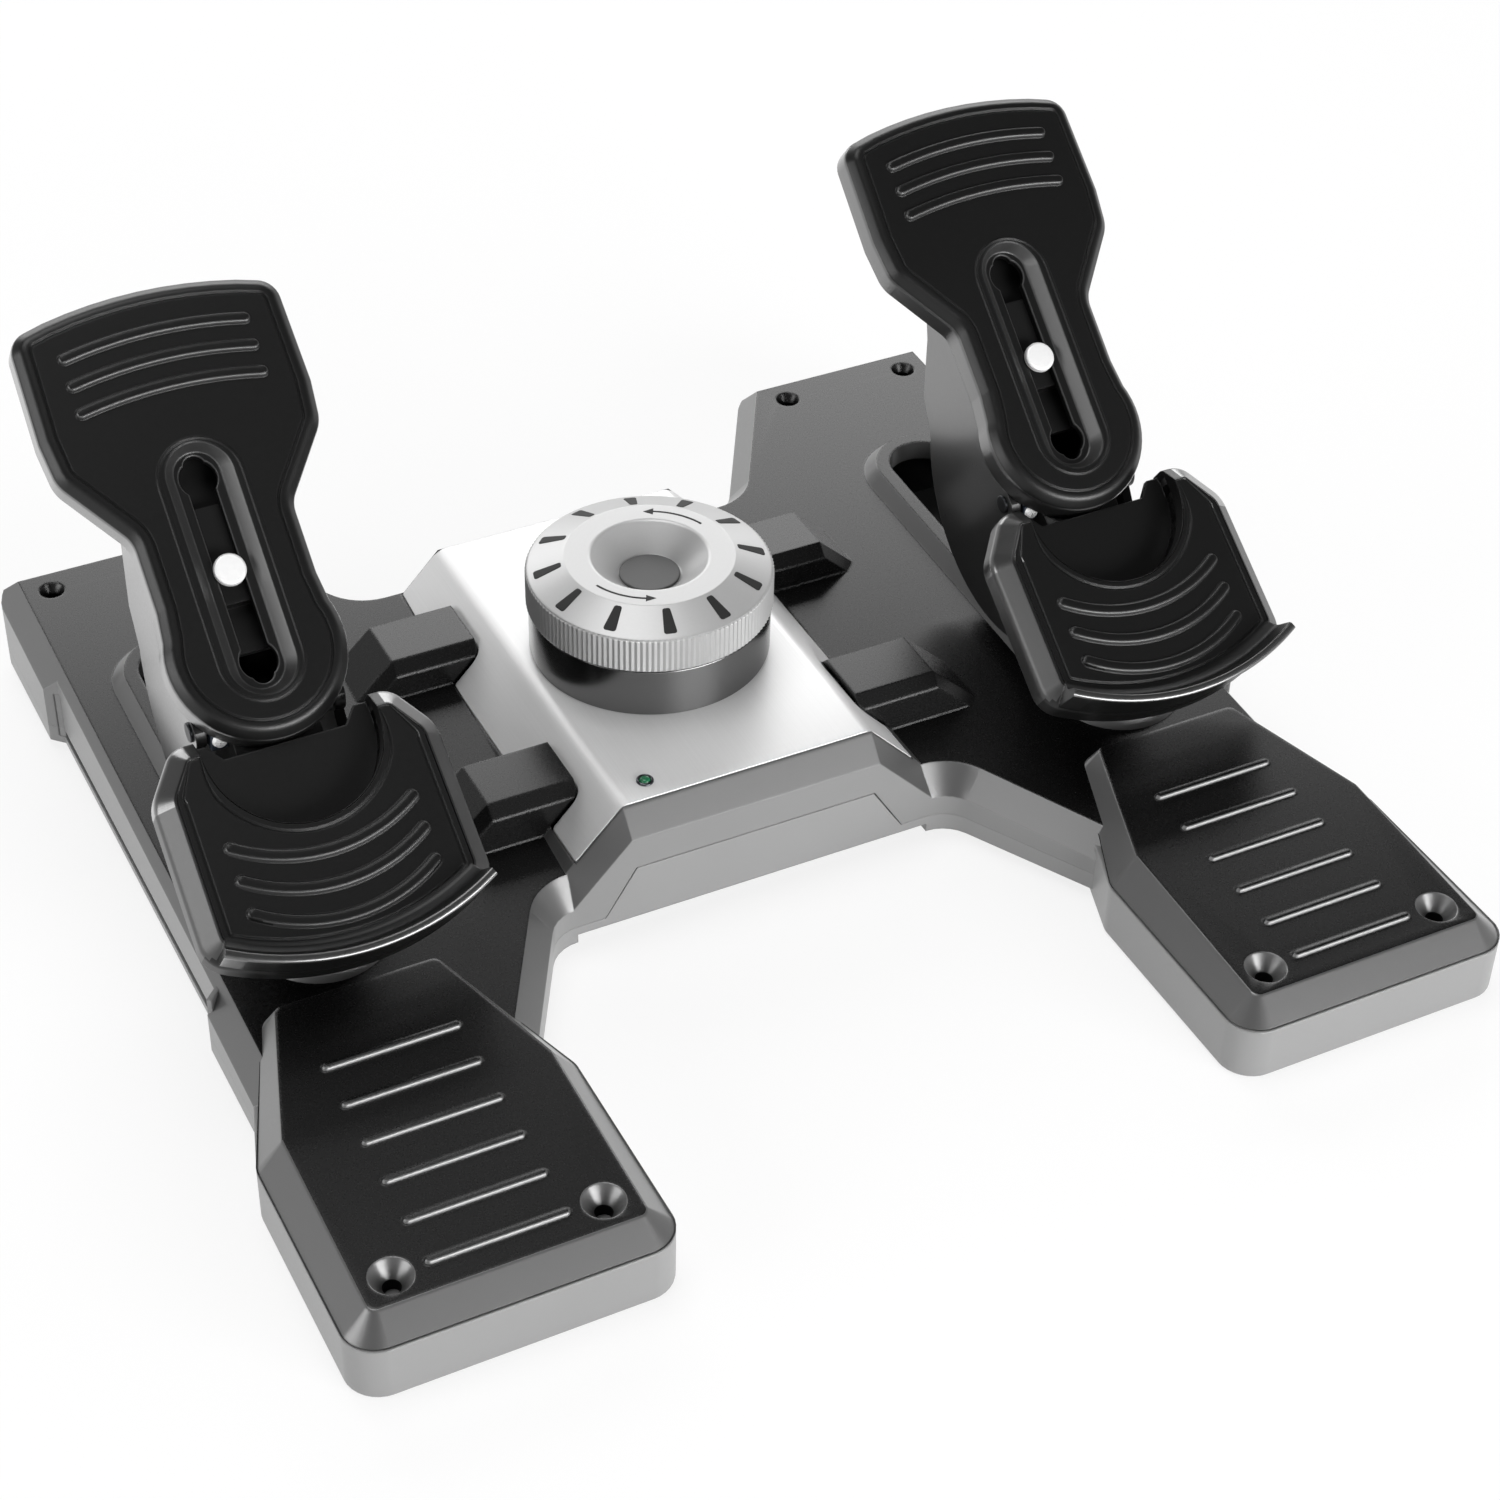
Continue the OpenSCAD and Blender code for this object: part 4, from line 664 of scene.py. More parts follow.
    def finish(self, frame: Frame, name: str, node: str, finishes: Sequence[Finish],
               place: Matrix | None = None, paint: Paint | None = None, sharp: float = 40.0,
               replaces: bool = True) -> None:
        """Closes the mesh, puts it in its place in metres and makes it a piece.

        Args:
            frame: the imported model.
            name: the piece's name.
            node: the CAD node whose body it rides on.
            finishes: its materials in slot order.
            place: matrix from the local frame to the object's, both in millimetres.
            paint: picks a slot from a face's local normal and centre.
            sharp: edges sharper than this, in degrees, stay sharp.
            replaces: whether the piece stands for the node.
        """
        bm = self.bm
        bmesh.ops.remove_doubles(bm, verts=bm.verts, dist=WELD_MM)
        bmesh.ops.recalc_face_normals(bm, faces=bm.faces)
        if paint is not None:
            for face in bm.faces:
                face.material_index = paint(face.normal, face.calc_center_median())
        bmesh.ops.transform(bm, matrix=Matrix.Scale(MM, 4) @ (place or Matrix.Identity(4)), verts=bm.verts)
        sharpen(bm, sharp)
        piece = add_piece(frame, name, node, bm, finishes, replaces)
        weigh = piece.modifiers.new("flat faces stay flat", "WEIGHTED_NORMAL")
        weigh.keep_sharp = True
        weigh.weight = 90


def add_piece(frame: Frame, name: str, node: str, bm: bmesh.types.BMesh, finishes: Sequence[Finish],
              replaces: bool = True) -> bpy.types.Object:
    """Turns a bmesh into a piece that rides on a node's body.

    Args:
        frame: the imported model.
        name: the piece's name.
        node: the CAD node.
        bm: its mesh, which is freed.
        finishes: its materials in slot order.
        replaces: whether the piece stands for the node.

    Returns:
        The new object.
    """
    mesh = bpy.data.meshes.new(name)
    for face in bm.faces:
        face.smooth = True
    bm.to_mesh(mesh)
    bm.free()
    for finish in finishes:
        mesh.materials.append(finish.material())
    piece = bpy.data.objects.new(name, mesh)
    bpy.context.scene.collection.objects.link(piece)
    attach(piece, frame.body_of[node])
    if replaces:
        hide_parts(node)
    LOG.info("built %s, %d faces", name, len(mesh.polygons))
    return piece


def recast(frame: Frame, node: str, finishes: Sequence[Finish], choose: Paint | None = None) -> None:
    """Replaces a CAD node by a merged copy whose round faces shade smooth.

    Args:
        frame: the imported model.
        node: the node's name.
        finishes: the materials in slot order.
        choose: picks a material slot from a face's normal and its centre in millimetres.
    """
    bm = bmesh.new()
    bm.from_mesh(frame.nodes[node].data)
    bmesh.ops.remove_doubles(bm, verts=bm.verts, dist=WELD_M)
    sharpen(bm, CAD_SHARP)
    if choose is not None:
        for face in bm.faces:
            face.material_index = choose(face.normal, face.calc_center_median() / MM)
    add_piece(frame, node + "_moulded", node, bm, finishes)


def spun(profile: Loop, steps: int, axis_at: Point = (0.0, 0.0)) -> bmesh.types.BMesh:
    """Turns a profile of radius and height about an upright axis.

    Args:
        profile: the profile, from the axis or back to it.
        steps: faces round the axis.
        axis_at: the axis in X and Y.

    Returns:
        A mesh in millimetres.
    """
    bm = bmesh.new()
    verts = [bm.verts.new((r, 0.0, z)) for r, z in profile]
    edges = [bm.edges.new(pair) for pair in zip(verts, verts[1:])]
    bmesh.ops.spin(bm, geom=verts + edges, cent=(0, 0, 0), axis=(0, 0, 1), angle=math.tau, steps=steps,
                   use_merge=True, use_duplicate=False)
    bmesh.ops.remove_doubles(bm, verts=bm.verts, dist=WELD_MM)
    bmesh.ops.dissolve_degenerate(bm, edges=bm.edges, dist=WELD_MM / 10)
    bmesh.ops.recalc_face_normals(bm, faces=bm.faces)
    bmesh.ops.translate(bm, vec=(axis_at[0], axis_at[1], 0.0), verts=bm.verts)
    return bm


@dataclass(frozen=True)
class Seat:
    """Frame of a pedal's face on the right side: its origin in millimetres and its tilt in degrees."""

    x: float
    y: float
    z: float
    tilt: float

    def matrix(self, side: Side) -> Matrix:
        """The frame on one side."""
        turn = Matrix.Rotation(math.radians(self.tilt), 4, "X")
        return Matrix.Translation((side.value * self.x, self.y, self.z)) @ turn


# Places that several sub-assemblies share, in millimetres and degrees.
WING_X = 155.0
DECK_PITCH = 2.45
PANEL_TOP = 52.1
LAMP_AT = (-35.3, -28.5)
PEDAL_X = 153.8
PLATE_SEAT = Seat(PEDAL_X, 7.0, 111.5, 40.0)
CUP_SEAT = Seat(PEDAL_X, -48.0, 77.0, 35.0)


# Sub-assemblies


@dataclass
class CaseShells:
    """Upper and lower case halves, their fittings, and walls at the side steps' ends. Millimetres."""

    frame: Frame
    seam: float = 11.0
    screw_x: float = 26.9
    screw_rim: float = 6.0
    screws_behind: float = 170.0
    bridge_x: float = 108.0
    bridge_y: Point = (-20.0, 105.0)
    hoods_above: float = 30.0
    outer_wall_x: float = 190.0
    step_middle: float = 49.0
    step_foot: float = 4.6
    step_top: float = 26.8
    web_corner: Point = (197.9, 140.2)
    web_run: float = 4.7
    web_thickness: float = 1.29

    def build(self) -> None:
        """Builds every piece of the case."""
        # Both shells carry painted light: the upper case's walls and bevels, and the whole lower shell, are
        # paler than the black moulding.
        recast(self.frame, "upper_case", [GRAINED_TOP, SATIN_WALL_PAINTED_LIGHT, CASE_WALL_PAINTED_LIGHT], self.deck_or_wall)
        recast(self.frame, "lower_case", [LOWER_SHELL_PAINTED_LIGHT])
        self.frame.dress(CAST_IRON, "rest_weights")
        self.frame.dress(RUBBER, "rubber_feet", "cable_gland")
        self.frame.dress(SCREW_BRIGHT, "case_screws")
        self.step_webs()

    def step_webs(self) -> None:
        """Short slanting walls that close both ends of each side step."""
        (x, y), run, thick = self.web_corner, self.web_run, self.web_thickness
        web = [(x + thick, y - thick), (x, y), (x - run, y - run), (x - run + thick, y - run - thick)]
        skin = Skin()
        for side in (-1, 1):
            for end in (-1, 1):
                line = [(side * a, self.step_middle + end * (b - self.step_middle)) for a, b in web]
                skin.block(line, [(0.0, self.step_foot), (0.0, self.seam), (0.0, self.step_top)])
        # The webs take the case's painted-light wall colours, above and below the seam.
        skin.finish(self.frame, "side_step_webs", "lower_case", [CASE_WALL_PAINTED_LIGHT, LOWER_SHELL_PAINTED_LIGHT],
                    paint=lambda normal, centre: 0 if centre.z > self.seam else 1, replaces=False)

    def deck_or_wall(self, normal: Vector, centre: Vector) -> int:
        """Picks the slot of a face of the upper case.

        Args:
            normal: the face's normal.
            centre: its middle.

        Returns:
            0 on decks, hoods, rims and undersides, 2 on outer walls, 1 on bevels and other walls; slots 1 and
            2 carry painted light.
        """
        pitch = math.radians(DECK_PITCH)
        off_wing = abs(centre.x) - WING_X
        at_screw = min(abs(off_wing - self.screw_x), abs(off_wing + self.screw_x)) < self.screw_rim
        if normal.z < DOWNWARD or at_screw and centre.y > self.screws_behind:
            return 0
        if normal.dot(Vector((0, -math.sin(pitch), math.cos(pitch)))) > LEVEL:
            return 0
        on_bridge = abs(centre.x) < self.bridge_x and self.bridge_y[0] < centre.y < self.bridge_y[1]
        if on_bridge and centre.z > self.hoods_above:
            return 0
        # Painted light: walls and bevels take paler colours than the decks, and outer walls the palest.
        return 2 if abs(normal.z) < 0.1 and (abs(centre.x) > self.outer_wall_x or centre.y < 0) else 1


@dataclass
class FootRest:
    """Foot rest cover with its ribs and screw holes, and the base below its seam. Sizes in millimetres."""

    frame: Frame
    side: Side
    front: float = -199.0
    straight: float = 82.0
    half_width: float = 54.3
    rear_end: Point = (28.0, -63.0)
    corner: float = 3.0
    bevel: float = 8.9
    foot: float = 0.8
    foot_inset: float = 2.2
    seam: float = 21.7
    seam_gap: float = 0.25
    top: float = 38.3
    rise: float = math.tan(math.radians(DECK_PITCH))
    ribs: int = 6
    rib_start: float = 19.6
    rib_pitch: float = 17.04
    rib_length: float = 47.4
    rib_half: float = 1.5
    rib_height: float = 1.3
    hole_x: float = 34.6
    hole_y: float = -179.9
    hole: tuple[Point, ...] = ((7.3, 0.0), (6.9, 0.25), (3.0, 5.2), (2.75, 5.6), (2.75, 12.0))
    joint: float = -88.0
    tucks: tuple[float, ...] = (0.40, 0.41, 0.42, 0.43)

    def build(self) -> None:
        """Builds the cover and the base."""
        w = self.half_width - self.bevel
        right = [(w, self.front + self.bevel), (w, self.front + self.straight), self.rear_end]
        plateau = rounded(both_sides([(x, y, self.corner) for x, y in right]), 8)
        outer = inset(plateau, -self.bevel)
        place = Matrix.Translation((self.side.value * WING_X, 0, 0))
        self.cover(plateau, outer, place)
        self.base(outer, place)

    def cover(self, plateau: Loop, outer: Loop, place: Matrix) -> None:
        """Builds the cover: its edge over the seam, the bevel, the plateau with its holes, and the ribs.

        Args:
            plateau: the top's outline.
            outer: the outline at the seam.
            place: the foot rest's place.
        """
        cover = Skin()
        low = cover.loft([(inset(outer, 1.0), self.seam - 0.3), (inset(outer, 0.45), self.seam + 0.15),
                          (outer, self.seam + 0.75), (mixed(outer, plateau, 0.05), self.on_bevel(0.05)),
                          (mixed(outer, plateau, 0.95), self.on_bevel(0.95))])
        edge = low.pop()
        for ring, share in zip(low, self.tucks):
            for vert, (x, y), seat in zip(ring, mixed(outer, plateau, share), outer):
                if seat[1] > self.joint:
                    vert.co = (x, y, self.on_bevel(share)(x, y))
        for move, drop in ((-0.12, 0.2), (0.25, 0.05), (0.75, 0.0)):
            edge = cover.grow(edge, inset(plateau, move), sloped(self.top - drop, self.rise))
        hole = [(radius, self.top - depth) for radius, depth in self.hole]
        cover.cap(edge, *[cover.sink((k * self.hole_x, self.hole_y), hole, self.rise) for k in (-1, 1)])
        cover.cap(low[0])
        half = self.rib_length / 2
        for k in range(self.ribs):
            y = self.front + self.rib_start + k * self.rib_pitch
            bar = [(b, y - a) for a, b in stadium(self.rib_half, -half, half, 8)]
            cover.rib(bar, self.rib_height, self.top, self.rise, 0.8)
        node = self.side.word + "_foot_rest"
        finishes = [GRAINED_TOP, SATIN_WALL_PAINTED_LIGHT, SHADE_BLACK]
        cover.finish(self.frame, node + "_cover", node, finishes, place, self.paint)

    def base(self, outer: Loop, place: Matrix) -> None:
        """Builds the base, which ends at the joint so that the carriage swings clear behind it.

        Args:
            outer: its outline.
            place: the foot rest's place.
        """
        base = Skin()
        high = self.seam - self.seam_gap
        base.block(outer, eased([(self.foot_inset, self.foot), (0.0, self.foot, 1.2), (0.0, high, 0.5),
                                 (1.2, high)]))
        base.cut(Vector((0, self.joint, 0)), Vector((0, 1, 0)), clear=True)
        node = self.side.word + "_rest_base"
        # The base takes the lower shell's painted light.
        base.finish(self.frame, node + "_shell", node, [LOWER_SHELL_PAINTED_LIGHT], place)

    def on_bevel(self, share: float) -> Height:
        """Height on the bevel, at a share of the way from the seam to the plateau."""
        return sloped(self.seam * (1 - share) + self.top * share, self.rise * share)

    def paint(self, normal: Vector, centre: Vector) -> int:
        """Grained plateau and ribs; painted light on the satin edges and the ribs' front sides; painted shade
        down the holes.

        Args:
            normal: the face's normal.
            centre: its middle.

        Returns:
            The slot.
        """
        off = min(math.hypot(centre.x - k * self.hole_x, centre.y - self.hole_y) for k in (-1, 1))
        # Painted shade down the bore, painted light on the countersink.
        if off < self.hole[0][0] + 0.05 and normal.z < 0.99:
            return 2 if off < self.hole[-1][0] + 0.15 else 1
        along = centre.y - self.front - self.rib_start
        on_rib = (abs(centre.x) < self.rib_length / 2 + 0.3
                  and -2.1 < along < (self.ribs - 1) * self.rib_pitch + 2.1)
        # Painted light: the bevel, edges and the ribs' front sides take the paler wall colour.
        return 0 if normal.z > LEVEL or on_rib and normal.y > 0 else 1


@dataclass
class CentrePanel:
    """Brushed sheet folded over the bridge, notched round the hoods. Sizes in millimetres."""

    frame: Frame
    flat: float = 47.9
    slope: float = 46.5
    half_width: float = 65.5
    front: float = -37.2
    rear: float = 126.8
    thickness: float = 1.5
    corner: float = 1.0
    notches: Point = (-1.5, 86.5)
    notch_half: float = 16.3
    notch_x: float = 54.2
    notch_corner: float = 4.0
    lamp_radius: float = 2.4
    fold: float = 3.0
    fold_cuts: int = 4

    def height(self, x: float) -> float:
        """Height of the sheet, with a rounded fold.

        Args:
            x: distance from the middle.

        Returns:
            The height.
        """
        t = math.tan(math.radians(self.slope))
        past = abs(x) - self.flat
        if past <= -self.fold:
            return PANEL_TOP
        if past >= self.fold:
            return PANEL_TOP - past * t
        return PANEL_TOP - t * (past + self.fold) ** 2 / (4 * self.fold)

    def build(self) -> None:
        """Builds the sheet."""
        w = self.half_width
        right = [(w, self.front, self.corner)]
        for y in self.notches:
            low, high = y - self.notch_half, y + self.notch_half
            right += [(w, low, self.corner), (self.notch_x, low, self.notch_corner),
                      (self.notch_x, high, self.notch_corner), (w, high, self.corner)]
        right.append((w, self.rear, self.corner))
        skin = Skin()
        low, edge = skin.stack(rounded(both_sides(right), 5), [
            (0.1, -self.thickness), (0.0, 0.2 - self.thickness), (0.0, -0.35), (0.1, -0.1), (0.35, 0.0)])
        for ring, height in ((edge, 0.0), (low, -self.thickness)):
            skin.cap(ring, skin.ring(circle(LAMP_AT, self.lamp_radius, 30), height))
        for k in range(-self.fold_cuts, self.fold_cuts + 1):
            for side in (-1, 1):
                x = side * (self.flat + k * self.fold / self.fold_cuts)
                skin.cut(Vector((x, 0, 0)), Vector((1, 0, 0)))
        for vert in skin.bm.verts:
            vert.co.z += self.height(vert.co.x)
        skin.finish(self.frame, "centre_panel_sheet", "centre_panel", [PANEL_SILVER], sharp=60)


@dataclass
class TensionKnob:
    """Collar, knurled knob, its ticks, arrows and cap. Sizes in millimetres."""

    frame: Frame
    centre: Point = (0.0, 42.5)
    base: float = 71.3
    radius: float = 44.4
    side: float = 13.7
    height: float = 19.1
    band: float = 30.5
    dish: float = 21.3
    cap: float = 11.2
    depth: float = 8.7
    hollow: Point = (30.0, 4.0)
    teeth: int = 140
    knurl: float = 0.45
    ticks: int = 12
    tick_reach: Point = (31.9, 42.4)
    tick_halves: Point = (1.35, 2.4)
    arrow: float = 26.3
    arrow_half: float = 0.45
    arrow_turn: Point = (20.0, 62.0)
    collar_radius: float = 43.5
    collar_foot: float = 52.15
    collar_gap: float = 0.3
    collar_seat: Point = (39.5, 60.0)

    def build(self) -> None:
        """Builds the knob's visible pieces and dresses the hidden ones."""
        self.collar()
        self.knob()
        self.marks()
        self.frame.dress(LINK_STEEL, "tension_spindle", "pressure_nut")
        self.frame.dress(LINER_BROWN, "friction_washers")

    def collar(self) -> None:
        """Satin ring below the knob, with a fine undercut at its foot."""
        r, foot, top = self.collar_radius, self.collar_foot, self.base - self.collar_gap
        bore, (seat_r, seat_z) = self.hollow[0], self.collar_seat
        wall = eased([(bore, foot), (r - 0.3, foot), (r - 0.3, foot + 0.55), (r, foot + 0.75, 0.1),
                      (r, top, 0.5), (seat_r, top), (seat_r, seat_z), (bore, seat_z)]) + [(bore, foot)]
        skin = Skin(spun(wall, 128, self.centre))
        skin.finish(self.frame, "collar_ring", "knob_collar", [COLLAR_BLACK], sharp=50)

    def knob(self) -> None:
        """Knurled body, whose rim is pressed in on every second step, and the cap in its dish."""
        r, top, side = self.radius, self.height, self.side
        floor, (bore, roof) = top - self.depth, self.hollow
        profile = eased([(0.0, floor), (self.cap, floor, 0.8), (self.dish, top, 0.9), (self.band, top, 0.25),
                         (r - 0.9, side + 0.35, 0.5), (r, side - 0.5, 0.1), (r, 0.7, 0.1),
                         (r - 0.9, 0.0, 0.1), (bore, 0.0), (bore, roof), (0.0, roof)], 4)
        skin = Skin(spun(profile, 2 * self.teeth))
        for vert in skin.bm.verts:
            on_rim = math.hypot(vert.co.x, vert.co.y) > r - 0.75 and 0.2 < vert.co.z < side + 0.1
            if on_rim and round(math.atan2(vert.co.y, vert.co.x) * self.teeth / math.pi) % 2:
                vert.co.xy *= (r - self.knurl) / r
        skin.finish(self.frame, "knurled_knob", "tension_knob", [KNOB_SILVER], self.place(), sharp=35)
        low, high, rim = self.base + floor - 0.4, self.base + floor + 0.9, self.cap - 0.3
        cap = Skin(spun(eased([(0.0, low), (rim, low), (rim, high, 0.4), (0.0, high)]), 96, self.centre))
        cap.finish(self.frame, "grey_cap", "knob_cap", [CAP_GREY], sharp=50)

    def marks(self) -> None:
        """Tapered ticks let into the cone, and two plain curved arrows on the band."""
        skin = Skin()
        tilt = math.atan((self.height - self.side) / (self.radius - self.band))
        lean = (Matrix.Translation((self.band, 0, self.height)) @ Matrix.Rotation(tilt, 4, "Y")
                @ Matrix.Translation((-self.band, 0, 0)))
        (near, far), (narrow, wide) = self.tick_reach, self.tick_halves
        tick = rounded([(near, -narrow, 0.9), (far, -wide, 1.0), (far, wide, 1.0), (near, narrow, 0.9)], 4)
        for k in range(self.ticks):
            mark = Skin()
            mark.block(tick, [(0.0, -0.7), (0.0, 0.04), (0.18, 0.1)])
            turn = Matrix.Rotation(math.tau * (k + 0.5) / self.ticks, 4, "Z")
            bmesh.ops.transform(mark.bm, matrix=turn @ lean, verts=mark.bm.verts)
            skin.absorb(mark.bm)
        start, end = self.arrow_turn
        middle, outer, inner = (0.0, 0.0), self.arrow + self.arrow_half, self.arrow - self.arrow_half
        shaft = arc(middle, outer, start, end, 18) + arc(middle, inner, end, start, 18)
        barbs = ((1.9, 0.0), (0.0, 8.0), (-1.9, 0.0))
        head = [polar(middle, self.arrow + off, end + turn) for off, turn in barbs]
        flat = [(0.0, self.height - 0.3), (0.0, self.height + 0.04)]
        for way in (1, -1):
            for line in (shaft, head):
                skin.block([(way * x, way * y) for x, y in line], flat)
        skin.finish(self.frame, "knob_marks", "knob_ticks", [TICK_DARK], self.place())

    def place(self) -> Matrix:
        """The knob's own frame, at its foot."""
        return Matrix.Translation((self.centre[0], self.centre[1], self.base))


@dataclass
class PowerLamp:
    """Small round lamp in the panel. Sizes in millimetres."""

    frame: Frame
    lens: float = 2.0
    rim: float = 3.1

    def build(self) -> None:
        """Builds the lens and its bezel."""
        r, rim_r, bore = self.lens, self.rim, self.lens - 0.05
        lens = eased([(0.0, -2.0), (r, -2.0), (r, 0.35, 0.2), (r - 0.5, 1.1, 0.4), (0.0, 1.45)], 4)
        rim = eased([(bore, -1.0), (rim_r, -1.0), (rim_r, 0.45, 0.25), (rim_r - 0.6, 0.8, 0.25),
                     (bore, 0.3, 0.1), (bore, -1.0)], 4)
        place = Matrix.Translation((0, 0, PANEL_TOP))
        for name, node, finish, profile in (("lamp_lens", "power_led", LENS_GREEN, lens),
                                            ("lamp_bezel", "led_bezel", BEZEL_DARK, rim)):
            Skin(spun(profile, 40, LAMP_AT)).finish(self.frame, name, node, [finish], place, sharp=60)


@dataclass
class Linkage:
    """Bars, bushes, pins and the parts inside the case."""

    frame: Frame

    def build(self) -> None:
        """Dresses the hidden parts."""
        self.frame.dress(LINK_STEEL, "bearing_plate", "front_bar", "rear_bar", "front_pivot_pin",
                         "rear_pivot_pin", "centring_spring", *[s.word + "_carriage_pins" for s in Side])
        self.frame.dress(BUSH_BRONZE, "front_bar_bushes", "rear_bar_bush")
        self.frame.dress(SENSOR_BLUE, "rudder_sensor")
        self.frame.dress(BOARD_GREEN, "circuit_board")
        self.frame.dress(GLIDE_WHITE, *[s.word + "_glide_pads" for s in Side])


@dataclass
class ToePlate:
    """Toe plate: bevelled face with a groove, a recess with a keyhole slot, and ribs. Millimetres."""

    frame: Frame
    side: Side
    end_radius: float = 27.3
    end_at: float = 10.2
    waist: float = 24.4
    width: float = 43.8
    length: float = 124.3
    top_radius: float = 157.0
    bevel: float = 3.2
    bevel_depth: float = 3.6
    depth: float = 12.5
    wall: float = 2.8
    face_thickness: float = 3.2
    recess: float = 11.5
    recess_y: Point = (-8.1, 84.0)
    recess_depth: float = 4.5
    box_depth: float = 7.2
    slot_half: float = 4.5
    slot_span: float = 78.0
    ribs: int = 3
    rib_half: float = 31.0
    rib_start: float = 12.2
    rib_pitch: float = 9.6

    def outline(self) -> Loop:
        """Works out the flat face: round foot, waist, wide head and bowed top.

        Returns:
            Its outline.
        """
        low, top, w = self.end_at, self.end_at + self.length, self.width
        right = [(x, y, 0.0) for x, y in arc((0, low), self.end_radius, -90, 20, 18)]
        right[0] = (0.0, low - self.end_radius, 0.0)
        right += [(self.waist, low + 20, 8.0), (self.waist, low + 46, 14.0), (w - 1.4, low + 70.5, 10.0),
                  (w, low + 84, 0.0), (w - 0.8, top - 6.2, 5.0)]
        bow = arc((0, top - self.top_radius), self.top_radius, 78, 90, 4)[:-1]
        right += [(x, y, 0.0) for x, y in bow] + [(0.0, top, 0.0)]
        return rounded(both_sides(right), 7)

    def keyhole(self) -> Loop:
        """Works out the slot, with a round opening and a small nib at each end.

        Returns:
            Its outline.
        """
        low = arc((0, 3.0), 3.8, -90, -15, 4) + arc((0, 7.0), 6.4, -48, 45, 8) + [(self.slot_half, 11.9)]
        half = low + [(x, self.slot_span - y) for x, y in reversed(low)]
        return half + [(-x, y) for x, y in reversed(half[1:-1])]

    def build(self) -> None:
        """Builds the plate."""
        skin = Skin()
        wall, in_face, floor = self.wall, self.bevel, -self.recess_depth
        first, last = skin.stack(inset(self.outline(), -self.bevel), eased([
            (wall, -self.face_thickness), (wall, 0.3 - self.depth, 0.3), (0.0, -self.depth, 0.6),
            (0.0, -self.bevel_depth, 1.2), (in_face, 0.0, 1.4), (in_face + 2.2, 0.0, 0.1),
            (in_face + 2.5, -0.6, 0.1), (in_face + 3.0, -0.6, 0.1), (in_face + 3.3, 0.0)]))
        walls = eased([(0.0, 0.0), (0.3, 0.45, 0.15), (1.0, 0.45, 0.2), (1.3, 0.0, 0.1), (3.2, 0.0, 0.7),
                       (7.0, floor, 0.6), (7.6, floor)])
        low, high = self.recess_y
        recess = skin.loft([(stadium(self.recess + 3.4 - move, low + move * 0.75, high - move * 0.55, 18), z)
                            for move, z in walls])
        skin.cap(last, recess[0])
        hole, end = skin.stack(self.keyhole(), [(-0.5, floor), (-0.15, floor - 0.15), (0.0, floor - 0.6),
                                                (0.0, -self.box_depth)])
        skin.cap(recess[-1], hole)
        box, under = skin.stack(stadium(self.recess + 2.8, low + 0.6, high - 0.6, 18),
                                [(0.0, -self.face_thickness), (0.0, -self.box_depth)])
        skin.cap(under, end)
        skin.cap(first, box)
        for k in range(self.ribs):
            middle = self.end_at + self.length - self.rib_start - k * self.rib_pitch
            skin.rib(arc_band(self.top_radius, self.rib_half, middle, 1.9, True), 1.5)
        node = self.side.word + "_toe_plate"
        skin.finish(self.frame, node + "_face", node, [PEDAL_TOP, PEDAL_WALL_PAINTED_LIGHT, SHADE_BLACK, CUP_WALL_PAINTED_LIGHT],
                    PLATE_SEAT.matrix(self.side), self.paint)

    def paint(self, normal: Vector, centre: Vector) -> int:
        """Grained face and recess; painted light on the satin outer bevel and wall and on the paler sides of
        ribs and recess; painted shade in the slot.

        Args:
            normal: the face's normal.
            centre: its middle.

        Returns:
            The slot.
        """
        if abs(centre.x) < self.recess + 3.5 and self.recess_y[0] - 0.9 < centre.y < self.recess_y[1] + 1:
            # Painted shade: the keyhole slot below the recess floor is dull black.
            if centre.z < -self.recess_depth - 0.5:
                return 2
            return 3 if centre.z < -0.2 and normal.z < LEVEL else 0
        # Painted light: the recess's sides, the ribs' sides and the outer wall take paler colours than the
        # face.
        if centre.z > 0.2 and normal.z < 0.9:
            return 3
        return 1 if centre.z < -2.2 and abs(normal.z) < 0.5 else 0


